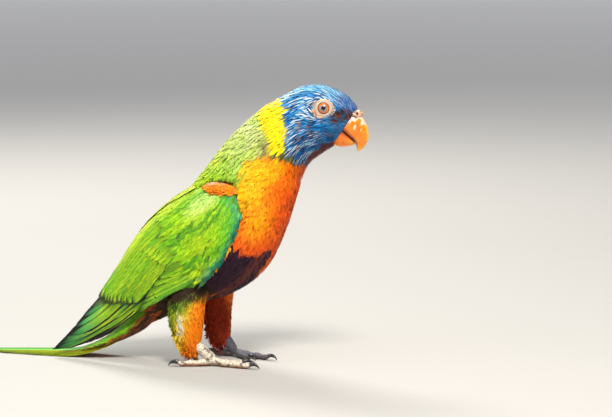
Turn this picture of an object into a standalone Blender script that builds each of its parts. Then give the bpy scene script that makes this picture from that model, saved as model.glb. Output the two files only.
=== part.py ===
"""A life-size rainbow lorikeet that stands on the floor with its tail laid behind it.

The bird looks along +X, its left side is at +Y and up is +Z. Sizes and tables below are in
millimetres, measured from a draft origin on the floor between the feet, and MM turns them into
metres when a mesh is made. At the end every part hangs on an empty, which is placed so that the
origin is the middle of the floor under the bird's bounding box.
"""

import math

import bmesh
import bpy
from mathutils import Vector

MM = 0.001
GAP = 0.3  # between touching nodes
WELD = 0.001
SIDES = {"right": -1, "left": 1}

# Stations of the whole body, from the bill's base to the tail's root:
# dorsal x, z; ventral x, z; half width.
BODY_STATIONS = (
    (87.8, 153.0, 75.0, 135.4, 6.6),
    (87.0, 157.0, 72.6, 132.6, 9.6),
    (82.9, 162.2, 68.6, 130.0, 12.8),
    (75.2, 167.0, 63.6, 126.6, 15.3),
    (65.2, 169.8, 59.2, 123.2, 16.6),
    (54.3, 168.9, 56.2, 119.2, 16.9),
    (42.2, 163.2, 53.8, 113.8, 17.2),
    (26.6, 153.4, 51.8, 106.8, 18.6),
    (9.4, 137.8, 48.8, 97.2, 22.4),
    (-4.6, 120.4, 45.0, 85.6, 25.6),
    (-17.4, 104.4, 40.0, 73.2, 27.2),
    (-28.0, 89.8, 33.4, 60.6, 27.0),
    (-36.5, 76.0, 22.4, 49.2, 25.2),
    (-42.5, 64.0, 7.0, 40.6, 22.2),
    (-46.5, 53.0, -10.5, 35.0, 18.4),
    (-49.0, 44.5, -24.5, 29.0, 14.2),
    (-50.5, 38.0, -34.5, 24.5, 10.6),
)
BILL_BASE, NECK_FRONT, NECK_BACK = 0, 5.5, 8  # stations that the head, neck and torso start at
TAIL_ROOT = len(BODY_STATIONS) - 1
BODY_SIDES = 22

# Upper bill: culmen x, z; cutting edge x, z; half width. Lower bill: cutting edge; underside.
UPPER_BILL = (
    (84.6, 154.6, 74.0, 148.6, 6.9),
    (89.6, 151.6, 78.2, 145.0, 6.9),
    (92.6, 147.2, 80.8, 142.4, 6.5),
    (94.2, 142.2, 83.2, 140.2, 5.7),
    (94.2, 137.6, 85.4, 138.2, 4.6),
    (92.6, 134.0, 87.0, 136.2, 3.3),
    (90.2, 131.4, 87.4, 133.4, 1.9),
    (88.0, 130.2, 87.4, 131.0, 0.7),
)
LOWER_BILL = (
    (71.6, 147.2, 67.2, 139.0, 5.9),
    (77.0, 144.4, 71.8, 134.8, 6.2),
    (80.0, 141.8, 75.8, 132.9, 5.9),
    (82.6, 139.6, 80.2, 132.8, 5.0),
    (84.9, 137.4, 84.0, 133.6, 3.7),
    (86.4, 135.8, 86.2, 134.4, 2.0),
)
BILL_SIDES = 16
BILL_ROUNDNESS = 0.8  # power of the sine that bows a bill's section, fuller than a half oval
CERE_CENTRE, CERE_RADII = (86.8, 0.0, 152.4), (3.8, 5.7, 2.7)
NOSTRIL_CENTRE, NOSTRIL_RADIUS = (88.2, 4.2, 153.0), 1.0

EYE_CENTRE, EYE_RADIUS = (69.6, 10.9, 156.4), 4.4
EYE_AIM = (0.16, 1.0, 0.10)
LID_RADIUS, LID_THICKNESS = 4.3, 0.85

# A folded wing, in its own side plane: how far its outline reaches above and below its axis, and
# how far its face and its upper edge stand off the mid plane, at distances along it from the bend.
WING_BEND, WING_TIP = (25.0, 95.5), (-102.5, 4.2)
WING_OUTLINE = (
    (-9.0, 14.0, 5.0, 20.5, 11.0),
    (4.0, 23.0, -5.0, 25.0, 5.0),
    (14.0, 27.5, -13.5, 27.4, 3.0),
    (30.0, 30.5, -21.5, 29.2, 2.2),
    (50.0, 30.0, -23.0, 28.8, 2.2),
    (70.0, 26.0, -17.0, 26.4, 2.4),
    (90.0, 18.0, -13.0, 22.6, 3.6),
    (110.0, 10.5, -11.0, 18.6, 6.0),
    (132.0, 5.6, -7.0, 15.2, 8.4),
    (158.0, 0.6, -1.2, 12.6, 10.4),
)
WING_TUCK, WING_TUCK_END = 0.14, 1.3  # share that the lower edge turns in, and how far past it
WING_SHIFT = {"right": (0.0, 0.0), "left": (3.5, -0.6)}  # forward and up

# The arm under the feathers: its stations along and across the wing, the height of its outer face
# at the bend and by the tip, and how much its rim drops and its middle is deeper.
ARM_COLUMNS = (-8.0, 2.0, 12.0, 22.0, 33.0, 44.0, 55.0, 66.0, 76.0)
ARM_ROWS = (0.03, 0.15, 0.3, 0.45, 0.6, 0.75, 0.88, 0.97)
ARM_HEIGHTS = (1.5, -1.1)
ARM_RIM, ARM_EDGE, ARM_DEPTH = 1.0, 1.6, 6.5

# Each tier of a wing, from its lowest to its highest feather: count, roots and shares across,
# tips, half width, and height of root and of tip over the wing's face.
WING_TIERS = {
    "primary": (7, (64.0, 60.0), (0.10, 0.80), (154.0, 118.0), 4.6, (-1.6, 0.0)),
    "secondary": (6, (44.0, 48.0), (0.12, 0.90), (88.0, 107.0), 5.8, (-0.8, 1.3)),
    "primary_covert": (3, (26.0, 34.0), (0.03, 0.20), (66.0, 82.0), 3.8, (-0.4, 1.5)),
    "greater_covert": (6, (22.0, 26.0), (0.12, 0.92), (57.0, 68.0), 6.4, (0.0, 2.1)),
    "median_covert": (6, (5.0, 8.0), (0.10, 0.93), (36.0, 46.0), 6.6, (0.4, 2.4)),
    "lesser_covert": (5, (-9.0, -4.0), (0.14, 0.90), (16.0, 25.0), 6.4, (0.6, 2.7)),
}
TIER_CLIMB = 0.12  # by which each feather of a tier lies higher than the one below it
TIER_NARROWING = 0.12
VANE_THICKNESS, VANE_END_THICKNESS = 0.75, 0.45
VANE_TILT = 0.35  # how far a vane's upper edge stands off its middle, and its lower edge sinks
SHAFT_RIDGE = 0.25
# Shares of a vane's length, with its share of the full width there.
LONG_VANE = ((0.0, 0.6), (0.4, 1.0), (0.75, 1.0), (0.92, 0.7), (1.0, 0.16))
SHORT_VANE = ((0.0, 0.75), (0.55, 1.0), (0.86, 0.78), (1.0, 0.2))

# The tail leaves the body at a slope, bends in one arc and lies on the floor to its tip. Its base
# has a half width and a half height at distances along it.
TAIL_START, TAIL_SLOPES = (-39.5, 33.2), (52.0, 2.2)
TAIL_LENGTH, TAIL_END_HEIGHT = 139.0, 0.45
TAIL_BASE = (
    (0.0, 9.0, 6.6),
    (14.0, 10.8, 6.2),
    (28.0, 10.8, 4.2),
    (42.0, 9.8, 2.3),
    (54.0, 7.6, 0.9),
)
TAIL_BASE_SIDES = 16
TAIL_ARCH = 0.012  # drop of the tail's edges for each square millimetre to the side, at its root
TAIL_PAIRS, TAIL_STEP = 6, 8.6  # each pair is shorter than the pair inside it by the step
TAIL_LAYER, TAIL_LEFT_SHORTER = 0.5, 0.8
TAIL_FEATHER_ROOT, TAIL_FEATHER_WIDTH, TAIL_NARROWING = 16.0, 5.0, 0.12
TAIL_ROOT_SPREAD, TAIL_TIP_SPREAD = (1.0, 0.95), (1.2, 1.0)  # of the first pair; of each further
TAIL_THIN_FROM, TAIL_THIN_OVER = 95.0, 56.0  # where the layers start to close up, and how fast

# Feathered thighs, top to bottom: centre x, y, z; radius along and across. y is towards the side.
THIGHS = {
    "right": (
        (-6.0, 11.0, 62.0, 13.0, 9.0),
        (-11.0, 14.0, 50.0, 13.2, 9.8),
        (-14.2, 16.0, 38.0, 12.0, 9.4),
        (-14.0, 17.0, 29.0, 10.8, 8.4),
        (-12.8, 17.0, 21.0, 8.8, 7.2),
        (-11.6, 17.0, 14.5, 6.4, 5.8),
        (-10.0, 17.0, 9.6, 3.8, 3.9),
    ),
    "left": (
        (3.0, 11.0, 62.0, 12.0, 9.0),
        (-1.8, 14.0, 50.0, 11.6, 9.6),
        (-4.0, 16.0, 38.0, 10.0, 9.0),
        (-4.2, 17.0, 29.0, 8.8, 8.2),
        (-3.6, 17.0, 21.0, 7.8, 7.2),
        (-2.4, 17.0, 14.6, 6.4, 6.0),
        (-0.6, 17.0, 9.8, 3.9, 4.0),
    ),
}
THIGH_SIDES = 16

ANKLES = {"right": (-8.0, 17.0, 12.6), "left": (-0.6, 17.0, 13.2)}
FOOT_CENTRES = {"right": (3.0, 17.2, 3.2), "left": (6.6, 17.2, 3.2)}
FOOT_TURNS = {"right": 0.0, "left": -30.0}  # degrees outward
SHANK_TOP, SHANK_MIDDLE = 3.0, 0.55
SHANK_RADII = (2.7, 3.0, 3.2, 2.4)
# Toes: heading in degrees from forward, outward positive; length; radius at the root and end.
TOES = {
    "inner_front": (-13.0, 17.5, 2.1, 1.55),
    "outer_front": (12.0, 25.0, 2.3, 1.6),
    "outer_back": (161.0, 21.5, 2.2, 1.55),
    "inner_back": (-157.0, 13.5, 2.0, 1.5),
}
TOE_STEPS, TOE_PADS, TOE_PAD_SWELL = 9, 3, 0.10
TOE_SINK, TOE_LIFT = 0.22, 0.9  # how deep the pads press into the floor, and the lift of the end
CLAW_STEPS, CLAW_RADIUS, CLAW_TIP, CLAW_CURVE = 7, 1.35, 0.12, 4.6
CLAW_GAP, CLAW_END_ANGLE = 0.4, -62.0

# Colour and roughness.
FINISHES = {
    "head": ((0.045, 0.19, 0.62), 0.7),
    "neck": ((0.75, 0.70, 0.05), 0.7),
    "torso": ((0.90, 0.25, 0.02), 0.7),
    "wing": ((0.12, 0.46, 0.03), 0.6),
    "tail": ((0.10, 0.40, 0.05), 0.6),
    "thigh": ((0.70, 0.45, 0.03), 0.75),
    "bill": ((0.90, 0.22, 0.01), 0.3),
    "eye": ((0.02, 0.02, 0.02), 0.1),
    "foot": ((0.36, 0.33, 0.30), 0.75),
    "claw": ((0.03, 0.03, 0.035), 0.35),
}
SMOOTH_ANGLE = 35.0


def clear_scene():
    for obj in list(bpy.data.objects):
        bpy.data.objects.remove(obj)


def finish(obj, kind):
    """Gives a part its own material, and shades its round faces smooth."""
    colour, roughness = FINISHES[kind]
    material = bpy.data.materials.new(obj.name)
    material.use_nodes = True
    shader = material.node_tree.nodes["Principled BSDF"]
    shader.inputs["Base Color"].default_value = (*colour, 1.0)
    shader.inputs["Roughness"].default_value = roughness
    obj.data.materials.clear()
    obj.data.materials.append(material)
    obj.data.shade_smooth()
    obj.data.set_sharp_from_angle(angle=math.radians(SMOOTH_ANGLE))


def on_side(place, side):
    """A place given for the left side, at either side."""
    return Vector((place[0], side * place[1], place[2]))


def between(table, at):
    """A row of a table at a fractional index, on a smooth curve through its rows."""
    low = min(max(int(math.floor(at)), 0), len(table) - 2)
    t = at - low
    rows = [table[min(max(low + k, 0), len(table) - 1)] for k in (-1, 0, 1, 2)]
    made = []
    for a, b, c, d in zip(*rows):
        slope_b, slope_c = (c - a) / 2, (d - b) / 2
        made.append(
            b * (2 * t**3 - 3 * t**2 + 1)
            + slope_b * (t**3 - 2 * t**2 + t)
            + c * (3 * t**2 - 2 * t**3)
            + slope_c * (t**3 - t**2)
        )
    return made


def at_distance(table, distance):
    """The columns after the first of a table, at a value of its first column."""
    last = len(table) - 1
    index = next((i for i in range(last) if distance < table[i + 1][0]), last - 1)
    share = (distance - table[index][0]) / (table[index + 1][0] - table[index][0])
    return between(table, index + min(max(share, 0.0), 1.0))[1:]


def blend(pair, share):
    return pair[0] + (pair[1] - pair[0]) * share


def mesh_object(name, points, faces):
    """A mesh object from points in millimetres, with its faces turned outwards."""
    mesh = bpy.data.meshes.new(name)
    mesh.from_pydata([Vector(p) * MM for p in points], [], faces)
    shell = bmesh.new()
    shell.from_mesh(mesh)
    bmesh.ops.recalc_face_normals(shell, faces=shell.faces)
    shell.to_mesh(mesh)
    shell.free()
    obj = bpy.data.objects.new(name, mesh)
    parts.objects.link(obj)
    return obj


def loft(name, rings):
    """A closed skin through rings of equal count, with flat ends."""
    count = len(rings[0])
    points = [p for ring in rings for p in ring]
    faces = [tuple(range(count)), tuple(len(points) - count + k for k in range(count))]
    for start in range(0, len(points) - count, count):
        for k in range(count):
            a, b = start + k, start + (k + 1) % count
            faces.append((a, b, b + count, a + count))
    return mesh_object(name, points, faces)


def take_primitive(name):
    """The primitive just added, moved to the parts' collection."""
    obj = bpy.context.object
    obj.name = name
    for collection in list(obj.users_collection):
        collection.objects.unlink(obj)
    parts.objects.link(obj)
    return obj


def turn_towards(obj, aim):
    obj.data.transform(Vector(aim).to_track_quat("Z", "Y").to_matrix().to_4x4())


def move(obj, offset):
    for vertex in obj.data.vertices:
        vertex.co += Vector(offset) * MM


def ball(name, centre, radii, aim=(0.0, 0.0, 1.0), segments=12, rings=8):
    """An ellipsoid with its pole along aim."""
    bpy.ops.mesh.primitive_uv_sphere_add(segments=segments, ring_count=rings, radius=MM)
    obj = take_primitive(name)
    turn_towards(obj, aim)
    for vertex in obj.data.vertices:
        vertex.co = Vector(c * r for c, r in zip(vertex.co, radii))
    move(obj, centre)
    return obj


def bake(obj):
    """Replaces an object's mesh by what its modifiers make of it."""
    graph = bpy.context.evaluated_depsgraph_get()
    mesh = bpy.data.meshes.new_from_object(obj.evaluated_get(graph))
    obj.modifiers.clear()
    obj.data = mesh


def tube(name, points, radii, bevel_resolution):
    """A tapered tube along points: a curve with a bevel, made a mesh with its caps welded."""
    curve = bpy.data.curves.new(name, "CURVE")
    curve.dimensions = "3D"
    curve.bevel_depth = MM
    curve.bevel_resolution = bevel_resolution
    curve.use_fill_caps = True
    spline = curve.splines.new("POLY")
    spline.points.add(len(points) - 1)
    for point, place, radius in zip(spline.points, points, radii):
        point.co = (*(Vector(place) * MM), 1.0)
        point.radius = radius
    line = bpy.data.objects.new(name + "_line", curve)
    parts.objects.link(line)
    graph = bpy.context.evaluated_depsgraph_get()
    mesh = bpy.data.meshes.new_from_object(line.evaluated_get(graph))
    obj = bpy.data.objects.new(name, mesh)
    obj.matrix_world = line.matrix_world
    parts.objects.link(obj)
    bpy.data.objects.remove(line)
    shell = bmesh.new()
    shell.from_mesh(mesh)
    bmesh.ops.remove_doubles(shell, verts=shell.verts, dist=WELD * MM)
    bmesh.ops.recalc_face_normals(shell, faces=shell.faces)
    shell.to_mesh(mesh)
    shell.free()
    return obj


def combine(obj, operation, others):
    """Joins an object with a list of others, or cuts it by them, and uses them up."""
    tools = bpy.data.collections.new("tools")
    bpy.context.scene.collection.children.link(tools)
    for other in others:
        parts.objects.unlink(other)
        tools.objects.link(other)
    modifier = obj.modifiers.new("combine", "BOOLEAN")
    modifier.operation = operation
    modifier.operand_type = "COLLECTION"
    modifier.collection = tools
    bake(obj)
    for other in others:
        bpy.data.objects.remove(other)
    bpy.data.collections.remove(tools)


def keep_largest(obj):
    """Drops loose scraps and sealed hollows, so that the node is one closed surface."""
    shell = bmesh.new()
    shell.from_mesh(obj.data)
    bmesh.ops.remove_doubles(shell, verts=shell.verts, dist=WELD * MM)
    left, bodies = set(shell.verts), []
    while left:
        body, front = set(), [left.pop()]
        while front:
            vertex = front.pop()
            body.add(vertex)
            near = {edge.other_vert(vertex) for edge in vertex.link_edges} & left
            left -= near
            front += near
        bodies.append(body)
    largest = max(bodies, key=len)
    loose = [vertex for body in bodies if body is not largest for vertex in body]
    bmesh.ops.delete(shell, geom=loose, context="VERTS")
    shell.to_mesh(obj.data)
    shell.free()


def cut_at_floor(obj):
    """Cuts off what reaches below the floor, which leaves small flats there."""
    shell = bmesh.new()
    shell.from_mesh(obj.data)
    everything = list(shell.verts) + list(shell.edges) + list(shell.faces)
    bmesh.ops.bisect_plane(
        shell, geom=everything, dist=1e-7, plane_co=(0, 0, 0), plane_no=(0, 0, 1), clear_inner=True
    )
    bmesh.ops.holes_fill(shell, edges=[e for e in shell.edges if e.is_boundary], sides=0)
    bmesh.ops.triangulate(shell, faces=[f for f in shell.faces if len(f.verts) > 4])
    bmesh.ops.recalc_face_normals(shell, faces=shell.faces)
    shell.to_mesh(obj.data)
    shell.free()


def body_ring(station, grow, shift):
    """One oval section of the body, grown all round, and shifted along the body."""
    dorsal_x, dorsal_z, ventral_x, ventral_z, half_width = between(BODY_STATIONS, station)
    dorsal = Vector((dorsal_x, 0.0, dorsal_z))
    ventral = Vector((ventral_x, 0.0, ventral_z))
    up = (dorsal - ventral).normalized()
    backwards = Vector((-up.z, 0.0, up.x))
    centre = (dorsal + ventral) / 2 + backwards * shift
    half_height = (dorsal - ventral).length / 2 + grow
    ring = []
    for k in range(BODY_SIDES):
        angle = math.tau * k / BODY_SIDES
        across = Vector((0.0, (half_width + grow) * math.sin(angle), 0.0))
        ring.append(centre + up * half_height * math.cos(angle) + across)
    return ring


def body_part(name, start, end):
    """The body from one station to another, half a gap short of each where it is parted."""
    halves = [i / 2 for i in range(int(start * 2) + 1, int(end * 2))]
    rings = [body_ring(start, 0.0, GAP / 2 if start > BILL_BASE else 0.0)]
    rings += [body_ring(station, 0.0, 0.0) for station in halves]
    rings.append(body_ring(end, 0.0, -GAP / 2 if end < TAIL_ROOT else 0.0))
    return loft(name, rings)


def grown_body():
    """The whole body grown by the gap, to cut what meets it."""
    rings = [body_ring(BILL_BASE, GAP, -GAP)]
    rings += [body_ring(i / 2, GAP, 0.0) for i in range(1, TAIL_ROOT * 2)]
    rings.append(body_ring(TAIL_ROOT, GAP, GAP))
    return loft("grown_body", rings)


def cere(grow=0.0):
    return ball("cere", CERE_CENTRE, [radius + grow for radius in CERE_RADII])


def lid(side):
    """A ring that rests on the eyeball's front."""
    bpy.ops.mesh.primitive_torus_add(
        major_radius=LID_RADIUS * MM,
        minor_radius=LID_THICKNESS * MM,
        major_segments=18,
        minor_segments=6,
    )
    ring = take_primitive("lid")
    aim = on_side(EYE_AIM, side).normalized()
    turn_towards(ring, aim)
    forward = math.sqrt(EYE_RADIUS**2 - (LID_RADIUS - LID_THICKNESS - GAP) ** 2)
    move(ring, on_side(EYE_CENTRE, side) + aim * forward)
    return ring


def make_head():
    head = body_part("head", BILL_BASE, NECK_FRONT)
    combine(head, "UNION", [cere(), lid(-1), lid(1)])
    hollows = []
    for side_name, side in SIDES.items():
        centre, aim = on_side(EYE_CENTRE, side), on_side(EYE_AIM, side)
        finish(ball(f"eye_{side_name}", centre, [EYE_RADIUS] * 3, aim), "eye")
        hollows.append(ball("socket", centre, [EYE_RADIUS + GAP] * 3, aim))
        nostril = on_side(NOSTRIL_CENTRE, side)
        hollows.append(ball("nostril", nostril, [NOSTRIL_RADIUS] * 3, segments=8, rings=6))
    combine(head, "DIFFERENCE", hollows)
    keep_largest(head)
    finish(head, "head")


def bill_ring(crest, edge, half_width):
    """A section that is flat at the cutting edge and bows out to its crest."""
    ring = []
    for k in range(BILL_SIDES):
        angle = math.pi * k / (BILL_SIDES - 1)
        across = Vector((0.0, half_width * math.cos(angle), 0.0))
        ring.append(edge + (crest - edge) * math.sin(angle) ** BILL_ROUNDNESS + across)
    return ring


def make_bill(name, table, crest_columns, edge_columns):
    rings = []
    for i in range(2 * len(table) - 1):
        row = between(table, i / 2)
        crest = Vector((row[crest_columns[0]], 0.0, row[crest_columns[1]]))
        edge = Vector((row[edge_columns[0]], 0.0, row[edge_columns[1]]))
        rings.append(bill_ring(crest, edge, row[-1]))
    bill = loft(name, rings)
    combine(bill, "DIFFERENCE", [grown_body(), cere(GAP)])
    keep_largest(bill)
    finish(bill, "bill")


def vane(name, place, root, tip, half_width, heights, tilt=0.0, ridge=0.0):
    """A thin feather laid on a surface. root and tip are (along, across), and place maps along,
    across, a shift sideways and a height to a point. A long feather has a ridge along its shaft.
    Both faces are split into the same triangles."""
    rows = []
    for share, width in LONG_VANE if ridge else SHORT_VANE:
        along, across = blend((root[0], tip[0]), share), blend((root[1], tip[1]), share)
        height, side = blend(heights, share), half_width * width
        half_thick = (VANE_THICKNESS if share < 1 else VANE_END_THICKNESS) / 2
        line = [(-side, height - tilt), (side, height + tilt)]
        if ridge:
            line.insert(1, (0.0, height + ridge))
        upper = [place(along, across, s, h + half_thick) for s, h in line]
        lower = [place(along, across, s, h - half_thick) for s, h in line]
        rows.append(upper + lower)
    count = len(rows[0]) // 2
    points = [p for row in rows for p in row]
    quads = []
    for here in range(0, len(points) - 2 * count, 2 * count):
        there = here + 2 * count
        for k in range(count - 1):
            for face in (k, k + count):
                quads.append((here + face, here + face + 1, there + face + 1, there + face))
        for k in (0, count - 1):
            quads.append((here + k, here + k + count, there + k + count, there + k))
    for end in (0, len(points) - 2 * count):
        for k in range(end, end + count - 1):
            quads.append((k, k + 1, k + count + 1, k + count))
    triangles = [t for a, b, c, d in quads for t in ((a, b, c), (a, c, d))]
    return mesh_object(name, points, triangles)


def wing_axes():
    bend = Vector((WING_BEND[0], 0.0, WING_BEND[1]))
    along = (Vector((WING_TIP[0], 0.0, WING_TIP[1])) - bend).normalized()
    return bend, along, Vector((along.z, 0.0, -along.x))


def wing_face(along, rise):
    """A point of the left wing's face, rise being measured on the face from its middle line. Above
    that line the face rounds over to the back in a quarter of an oval."""
    bend, axis, up = wing_axes()
    top, bottom, outer, inner = at_distance(WING_OUTLINE, along)
    middle, half = (top + bottom) / 2, (top - bottom) / 2
    if rise > 0:
        radius = (half + outer - inner) / 2
        angle = min(rise / radius, math.pi / 2)
        across = middle + half * math.sin(angle)
        side = blend((inner, outer), math.cos(angle)) - (rise - angle * radius)
    else:
        across = middle + rise
        side = outer * (1 - WING_TUCK * min(-rise / half, WING_TUCK_END) ** 2)
    return bend + axis * along + up * across + Vector((0.0, side, 0.0))


def wing_place(along, share, sideways, height):
    """A point over the left wing's face, share being from its lower to its upper edge."""
    top, bottom, outer, inner = at_distance(WING_OUTLINE, along)
    below = (top - bottom) / 2
    above = (below + outer - inner) / 2 * math.pi / 2
    rise = blend((-below, above), share) + sideways
    step = 0.5
    run = wing_face(along + step, rise) - wing_face(along - step, rise)
    climb = wing_face(along, rise + step) - wing_face(along, rise - step)
    return wing_face(along, rise) + run.cross(climb).normalized() * height


def wing_arm():
    """The fleshy arm and the bed of the feathers, a lens that follows the wing's face."""
    outer, inner = [], []
    for along in ARM_COLUMNS:
        out = (along - ARM_COLUMNS[0]) / (ARM_COLUMNS[-1] - ARM_COLUMNS[0])
        depth = ARM_EDGE + ARM_DEPTH * math.sin(math.pi * blend((0.2, 1.0), out))
        for share in ARM_ROWS:
            on_rim = share in (ARM_ROWS[0], ARM_ROWS[-1])
            height = blend(ARM_HEIGHTS, out) - (ARM_RIM if on_rim else 0.0)
            outer.append(wing_place(along, share, 0.0, height))
            inner.append(wing_place(along, share, 0.0, height - depth))
    width, count = len(ARM_ROWS), len(outer)
    last_column = count - width
    faces = []
    for corner in range(last_column):
        if corner % width < width - 1:
            quad = (corner, corner + 1, corner + 1 + width, corner + width)
            faces += [quad, tuple(k + count for k in quad)]
    rim = list(range(0, last_column, width)) + list(range(last_column, count))
    rim += list(range(last_column - 1, width - 1, -width)) + list(range(width - 1, 0, -1))
    for a, b in zip(rim, rim[1:] + rim[:1]):
        faces.append((a, b, b + count, a + count))
    return mesh_object("arm", outer + inner, faces)


def wing_feathers():
    made = []
    for tier, (count, roots, shares, tips, widest, heights) in WING_TIERS.items():
        for k in range(count):
            t = k / (count - 1)
            root = (blend(roots, t), blend(shares, t))
            tip = (blend(tips, t), blend(shares, t))
            half_width = widest * (1.0 - TIER_NARROWING * abs(2 * t - 1))
            lifted = [height + TIER_CLIMB * k for height in heights]
            ridge = SHAFT_RIDGE if tier == "primary" else 0.0
            name = f"{tier}_{k}"
            made.append(vane(name, wing_place, root, tip, half_width, lifted, VANE_TILT, ridge))
    return made


def half_space(side):
    """A block on the far side of the mid plane, to keep a wing clear of it."""
    width, length = 0.1, 0.4
    bpy.ops.mesh.primitive_cube_add(size=1.0)
    block = take_primitive("half_space")
    for vertex in block.data.vertices:
        x, y, z = vertex.co
        vertex.co = (x * length, y * width - side * (width / 2 - GAP * MM), z * length)
    return block


def make_wing(side_name):
    side = SIDES[side_name]
    wing = wing_arm()
    wing.name = f"wing_{side_name}"
    combine(wing, "UNION", wing_feathers())
    forward, up = WING_SHIFT[side_name]
    move(wing, (forward, 0.0, up))
    if side < 0:
        for vertex in wing.data.vertices:
            vertex.co.y *= -1
        wing.data.flip_normals()
    combine(wing, "DIFFERENCE", [grown_body(), half_space(side), thigh_solid(side_name, GAP)])
    keep_largest(wing)
    finish(wing, "wing")


def thigh_solid(side_name, grow=0.0):
    table = THIGHS[side_name]
    rings = []
    for i in range(2 * len(table) - 1):
        x, y, z, along, across = between(table, i / 2)
        centre = on_side((x, y, z), SIDES[side_name])
        ring = []
        for k in range(THIGH_SIDES):
            angle = math.tau * k / THIGH_SIDES
            offset = ((along + grow) * math.cos(angle), (across + grow) * math.sin(angle), 0.0)
            ring.append(centre + Vector(offset))
        rings.append(ring)
    for point in rings[-1]:
        point.z -= grow
    return loft(f"thigh_{side_name}", rings)


def make_thigh(side_name):
    thigh = thigh_solid(side_name)
    combine(thigh, "DIFFERENCE", [grown_body()])
    keep_largest(thigh)
    finish(thigh, "thigh")


def toe_path(side_name, heading, length, root_radius, end_radius):
    """Points and radii of a toe with soft pads, its end lifted towards the claw."""
    side = SIDES[side_name]
    start = on_side(FOOT_CENTRES[side_name], side)
    turn = math.radians(heading + FOOT_TURNS[side_name])
    forward = Vector((math.cos(turn), side * math.sin(turn), 0.0))
    points, radii = [start], [root_radius]
    for k in range(1, TOE_STEPS + 1):
        t = k / TOE_STEPS
        swell = 1.0 + TOE_PAD_SWELL * math.cos(math.tau * TOE_PADS * t)
        radius = blend((root_radius, end_radius), t) * swell
        height = radius - TOE_SINK
        point = start + forward * length * t
        point.z = blend((height, start.z), max(0.0, 1 - TOE_PADS * t))
        points.append(point)
        radii.append(radius)
    points[-1].z += TOE_LIFT
    radii[-1] = CLAW_RADIUS + CLAW_TIP
    return points, radii


def claw_path(toe_points):
    """An arc that leaves the toe's end in line with it and bends down to the floor."""
    end, before = toe_points[-1], toe_points[-2]
    aim = (end - before).normalized()
    forward = Vector((aim.x, aim.y, 0.0)).normalized()
    angles = (math.asin(aim.z), math.radians(CLAW_END_ANGLE))
    start = end + aim * CLAW_GAP
    points, radii = [], []
    for k in range(CLAW_STEPS + 1):
        t = k / CLAW_STEPS
        angle = blend(angles, t)
        run = CLAW_CURVE * (math.sin(angles[0]) - math.sin(angle))
        rise = CLAW_CURVE * (math.cos(angle) - math.cos(angles[0]))
        points.append(start + forward * run + Vector((0.0, 0.0, rise)))
        radii.append(CLAW_RADIUS * (1 - t) ** 0.8 + CLAW_TIP)
    return points, radii


def make_foot(side_name):
    side = SIDES[side_name]
    ankle, centre = on_side(ANKLES[side_name], side), on_side(FOOT_CENTRES[side_name], side)
    top = ankle + (ankle - centre).normalized() * SHANK_TOP
    shank = [top, ankle, ankle.lerp(centre, SHANK_MIDDLE), centre]
    foot = tube(f"foot_{side_name}", shank, SHANK_RADII, 3)
    toes = []
    for toe, facts in TOES.items():
        points, radii = toe_path(side_name, *facts)
        toes.append(tube("toe", points, radii, 2))
        finish(tube(f"claw_{side_name}_{toe}", *claw_path(points), 1), "claw")
    combine(foot, "UNION", toes)
    combine(foot, "DIFFERENCE", [thigh_solid(side_name, GAP)])
    cut_at_floor(foot)
    keep_largest(foot)
    finish(foot, "foot")


def tail_line(distance):
    """The tail's centre line: its place at a distance, and its slope down from level."""
    first, last = (math.radians(angle) for angle in TAIL_SLOPES)
    drop = TAIL_START[1] - TAIL_END_HEIGHT
    turn = first - last
    arc_drop = math.cos(last) - math.cos(first)
    radius = (drop - TAIL_LENGTH * math.sin(last)) / (arc_drop - turn * math.sin(last))
    on_arc = min(distance, radius * turn)
    slope = first - on_arc / radius
    straight = distance - on_arc
    x = TAIL_START[0] - radius * (math.sin(first) - math.sin(slope)) - straight * math.cos(slope)
    z = TAIL_START[1] - radius * (math.cos(slope) - math.cos(first)) - straight * math.sin(slope)
    return Vector((x, 0.0, z)), slope


def tail_place(along, across, sideways, height):
    """A point over the tail's middle layer, across being in millimetres to the side."""
    centre, slope = tail_line(along)
    up = Vector((-math.sin(slope), 0.0, math.cos(slope)))
    side = across + sideways
    drop = TAIL_ARCH * side**2 * (1 - along / TAIL_LENGTH)
    return centre + up * (height - drop) + Vector((0.0, side, 0.0))


def tail_feather(pair, side):
    """One of a pair, longest in the middle, each pair lying under the pair inside it."""
    lower = pair + 0.5 if side > 0 else pair
    length = TAIL_LENGTH - TAIL_STEP * pair - (TAIL_LEFT_SHORTER if side > 0 else 0.0)
    closing = 1.0 - max(0.0, (length - TAIL_THIN_FROM) / TAIL_THIN_OVER)
    root = (TAIL_FEATHER_ROOT, side * (TAIL_ROOT_SPREAD[0] + TAIL_ROOT_SPREAD[1] * pair))
    tip = (length, side * (TAIL_TIP_SPREAD[0] + TAIL_TIP_SPREAD[1] * pair))
    heights = (-TAIL_LAYER * lower, -TAIL_LAYER * lower * closing)
    half_width = TAIL_FEATHER_WIDTH - TAIL_NARROWING * pair
    name = f"tail_feather_{pair}"
    return vane(name, tail_place, root, tip, half_width, heights, ridge=SHAFT_RIDGE)


def make_tail():
    rings = []
    for along, half_width, half_height in TAIL_BASE:
        angles = [math.tau * k / TAIL_BASE_SIDES for k in range(TAIL_BASE_SIDES)]
        ovals = [(half_width * math.cos(a), half_height * math.sin(a)) for a in angles]
        rings.append([tail_place(along, side, 0.0, height) for side, height in ovals])
    tail = loft("tail", rings)
    pairs = range(TAIL_PAIRS)
    combine(tail, "UNION", [tail_feather(pair, side) for pair in pairs for side in (-1, 1)])
    combine(tail, "DIFFERENCE", [grown_body()])
    cut_at_floor(tail)
    keep_largest(tail)
    finish(tail, "tail")


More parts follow.
